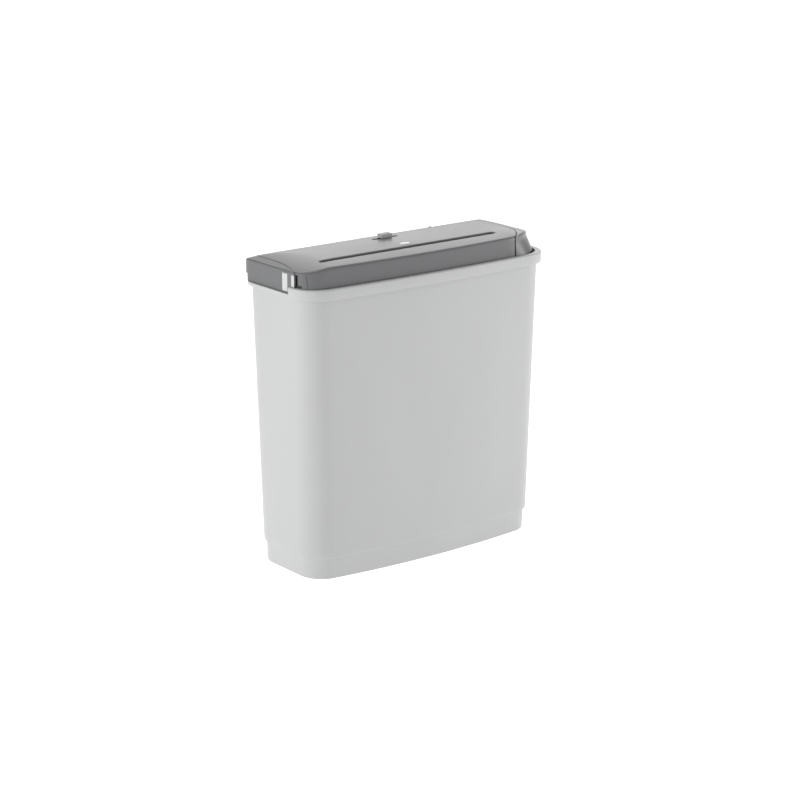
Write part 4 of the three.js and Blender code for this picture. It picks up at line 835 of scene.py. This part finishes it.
def worked_metal():
    """Node group for machined metal: fine lines along one axis, plating clouds, and a
    normal from both."""
    group = bpy.data.node_groups.new("worked_metal", "ShaderNodeTree")
    for way, kind, socket in (
            ("INPUT", "Vector", "Where"), ("INPUT", "Color", "Tone"),
            ("INPUT", "Vector", "Stretch"), ("INPUT", "Float", "Base Roughness"),
            ("OUTPUT", "Color", "Tone"), ("OUTPUT", "Float", "Roughness"),
            ("OUTPUT", "Vector", "Normal")):
        group.interface.new_socket(socket, in_out=way, socket_type="NodeSocket" + kind)
    start = group.nodes.new("NodeGroupInput")
    stop = group.nodes.new("NodeGroupOutput")
    lined = place(group, "ShaderNodeVectorMath", {
        0: start.outputs["Where"], 1: start.outputs["Stretch"]}, operation="MULTIPLY")
    lines = place(group, "ShaderNodeTexNoise", {
        "Vector": lined.outputs["Vector"], "Scale": 1.0, "Detail": 4.0})
    cloud = place(group, "ShaderNodeTexNoise", {
        "Vector": start.outputs["Where"], "Scale": 140.0, "Detail": 3.0})
    both = place(group, "ShaderNodeMath", {
        0: lines.outputs["Fac"], 1: cloud.outputs["Fac"]}, operation="ADD")
    tone = place(group, "ShaderNodeMapRange", {
        "Value": both.outputs["Value"], "From Min": 0.7, "From Max": 1.3,
        "To Min": 0.86, "To Max": 1.06})
    coloured = place(group, "ShaderNodeVectorMath", {0: start.outputs["Tone"]}, operation="SCALE")
    group.links.new(tone.outputs["Result"], coloured.inputs["Scale"])
    rough = place(group, "ShaderNodeMath", {
        0: lines.outputs["Fac"], 1: 0.16}, operation="MULTIPLY_ADD")
    group.links.new(start.outputs["Base Roughness"], rough.inputs[2])
    bump = place(group, "ShaderNodeBump", {
        "Height": lines.outputs["Fac"], "Distance": 0.00006, "Strength": 0.35})
    group.links.new(coloured.outputs["Vector"], stop.inputs["Tone"])
    group.links.new(rough.outputs["Value"], stop.inputs["Roughness"])
    group.links.new(bump.outputs["Normal"], stop.inputs["Normal"])
    return group


metal_group = worked_metal()


def metal(name, tone, stretch, rough):
    """Bare or plated metal with tool marks, drawn out along the axis of least stretch."""
    def varied(tree, local):
        marks = place(tree, "ShaderNodeGroup", node_tree=metal_group)
        tree.links.new(local, marks.inputs["Where"])
        for key, value in (("Tone", (*tone, 1)), ("Stretch", stretch),
                           ("Base Roughness", rough)):
            marks.inputs[key].default_value = value
        return {"Base Color": marks.outputs["Tone"], "Roughness": marks.outputs["Roughness"],
                "Normal": marks.outputs["Normal"]}
    return finish(name, {"Metallic": 1.0}, varied)


def weave(tree, local):
    """Varnished laminate: two crossed waves of glass cloth under a green mask."""
    waves = [place(tree, "ShaderNodeTexWave", {
        "Vector": local, "Scale": 420.0, "Distortion": 0.4}, bands_direction=way)
        for way in ("X", "Y")]
    cloth = place(tree, "ShaderNodeMath", {
        0: waves[0].outputs["Fac"], 1: waves[1].outputs["Fac"]}, operation="MULTIPLY")
    tone = place(tree, "ShaderNodeMix", {
        "Factor": cloth.outputs["Value"], "A": (0.012, 0.09, 0.045, 1),
        "B": (0.02, 0.14, 0.07, 1)}, data_type="RGBA")
    bump = place(tree, "ShaderNodeBump", {
        "Height": cloth.outputs["Value"], "Distance": 0.00004, "Strength": 0.5})
    return {"Base Color": tone.outputs[2], "Normal": bump.outputs["Normal"]}


works = {
    "bin_plastic": bin_plastic, "cover_plastic": cover_plastic, "cap_plastic": cap_plastic,
    "knob_plastic": knob_plastic,
    "housing_plastic": moulded("housing_abs", (0.028, 0.03, 0.032), 0.48, size=900.0, depth=0.4),
    "lens_plastic": moulded("lamp_resin", (0.55, 0.6, 0.56), 0.14, size=700.0, depth=0.05),
    "gland_rubber": moulded("gland_rubber_soft", (0.012, 0.012, 0.012), 0.62, size=2200.0,
                            depth=0.5),
    "gear_plastic": moulded("acetal", (0.72, 0.7, 0.62), 0.32, size=800.0, depth=0.12),
    "capacitor_sleeve": moulded("shrink_sleeve", (0.02, 0.06, 0.16), 0.22, size=500.0,
                                depth=0.15),
    "bronze": metal("sintered_bronze", (0.52, 0.33, 0.13), (1500, 1500, 1500), 0.34),
    "cutter_steel": metal("cutter_steel_oiled", (0.42, 0.43, 0.44), (2600, 500, 500), 0.2),
    "plated_steel": metal("zinc_plate", (0.58, 0.59, 0.61), (900, 160, 900), 0.26),
    "motor_steel": metal("motor_plate", (0.52, 0.53, 0.55), (120, 900, 900), 0.28),
    "board_laminate": finish("board_glass_cloth", {"Roughness": 0.32, "Coat Weight": 0.3},
                             weave),
}
for piece in cad.values():
    for held in piece.material_slots:
        plain = held.material.name.split(".")[0]
        if plain in works:
            held.material = works[plain]
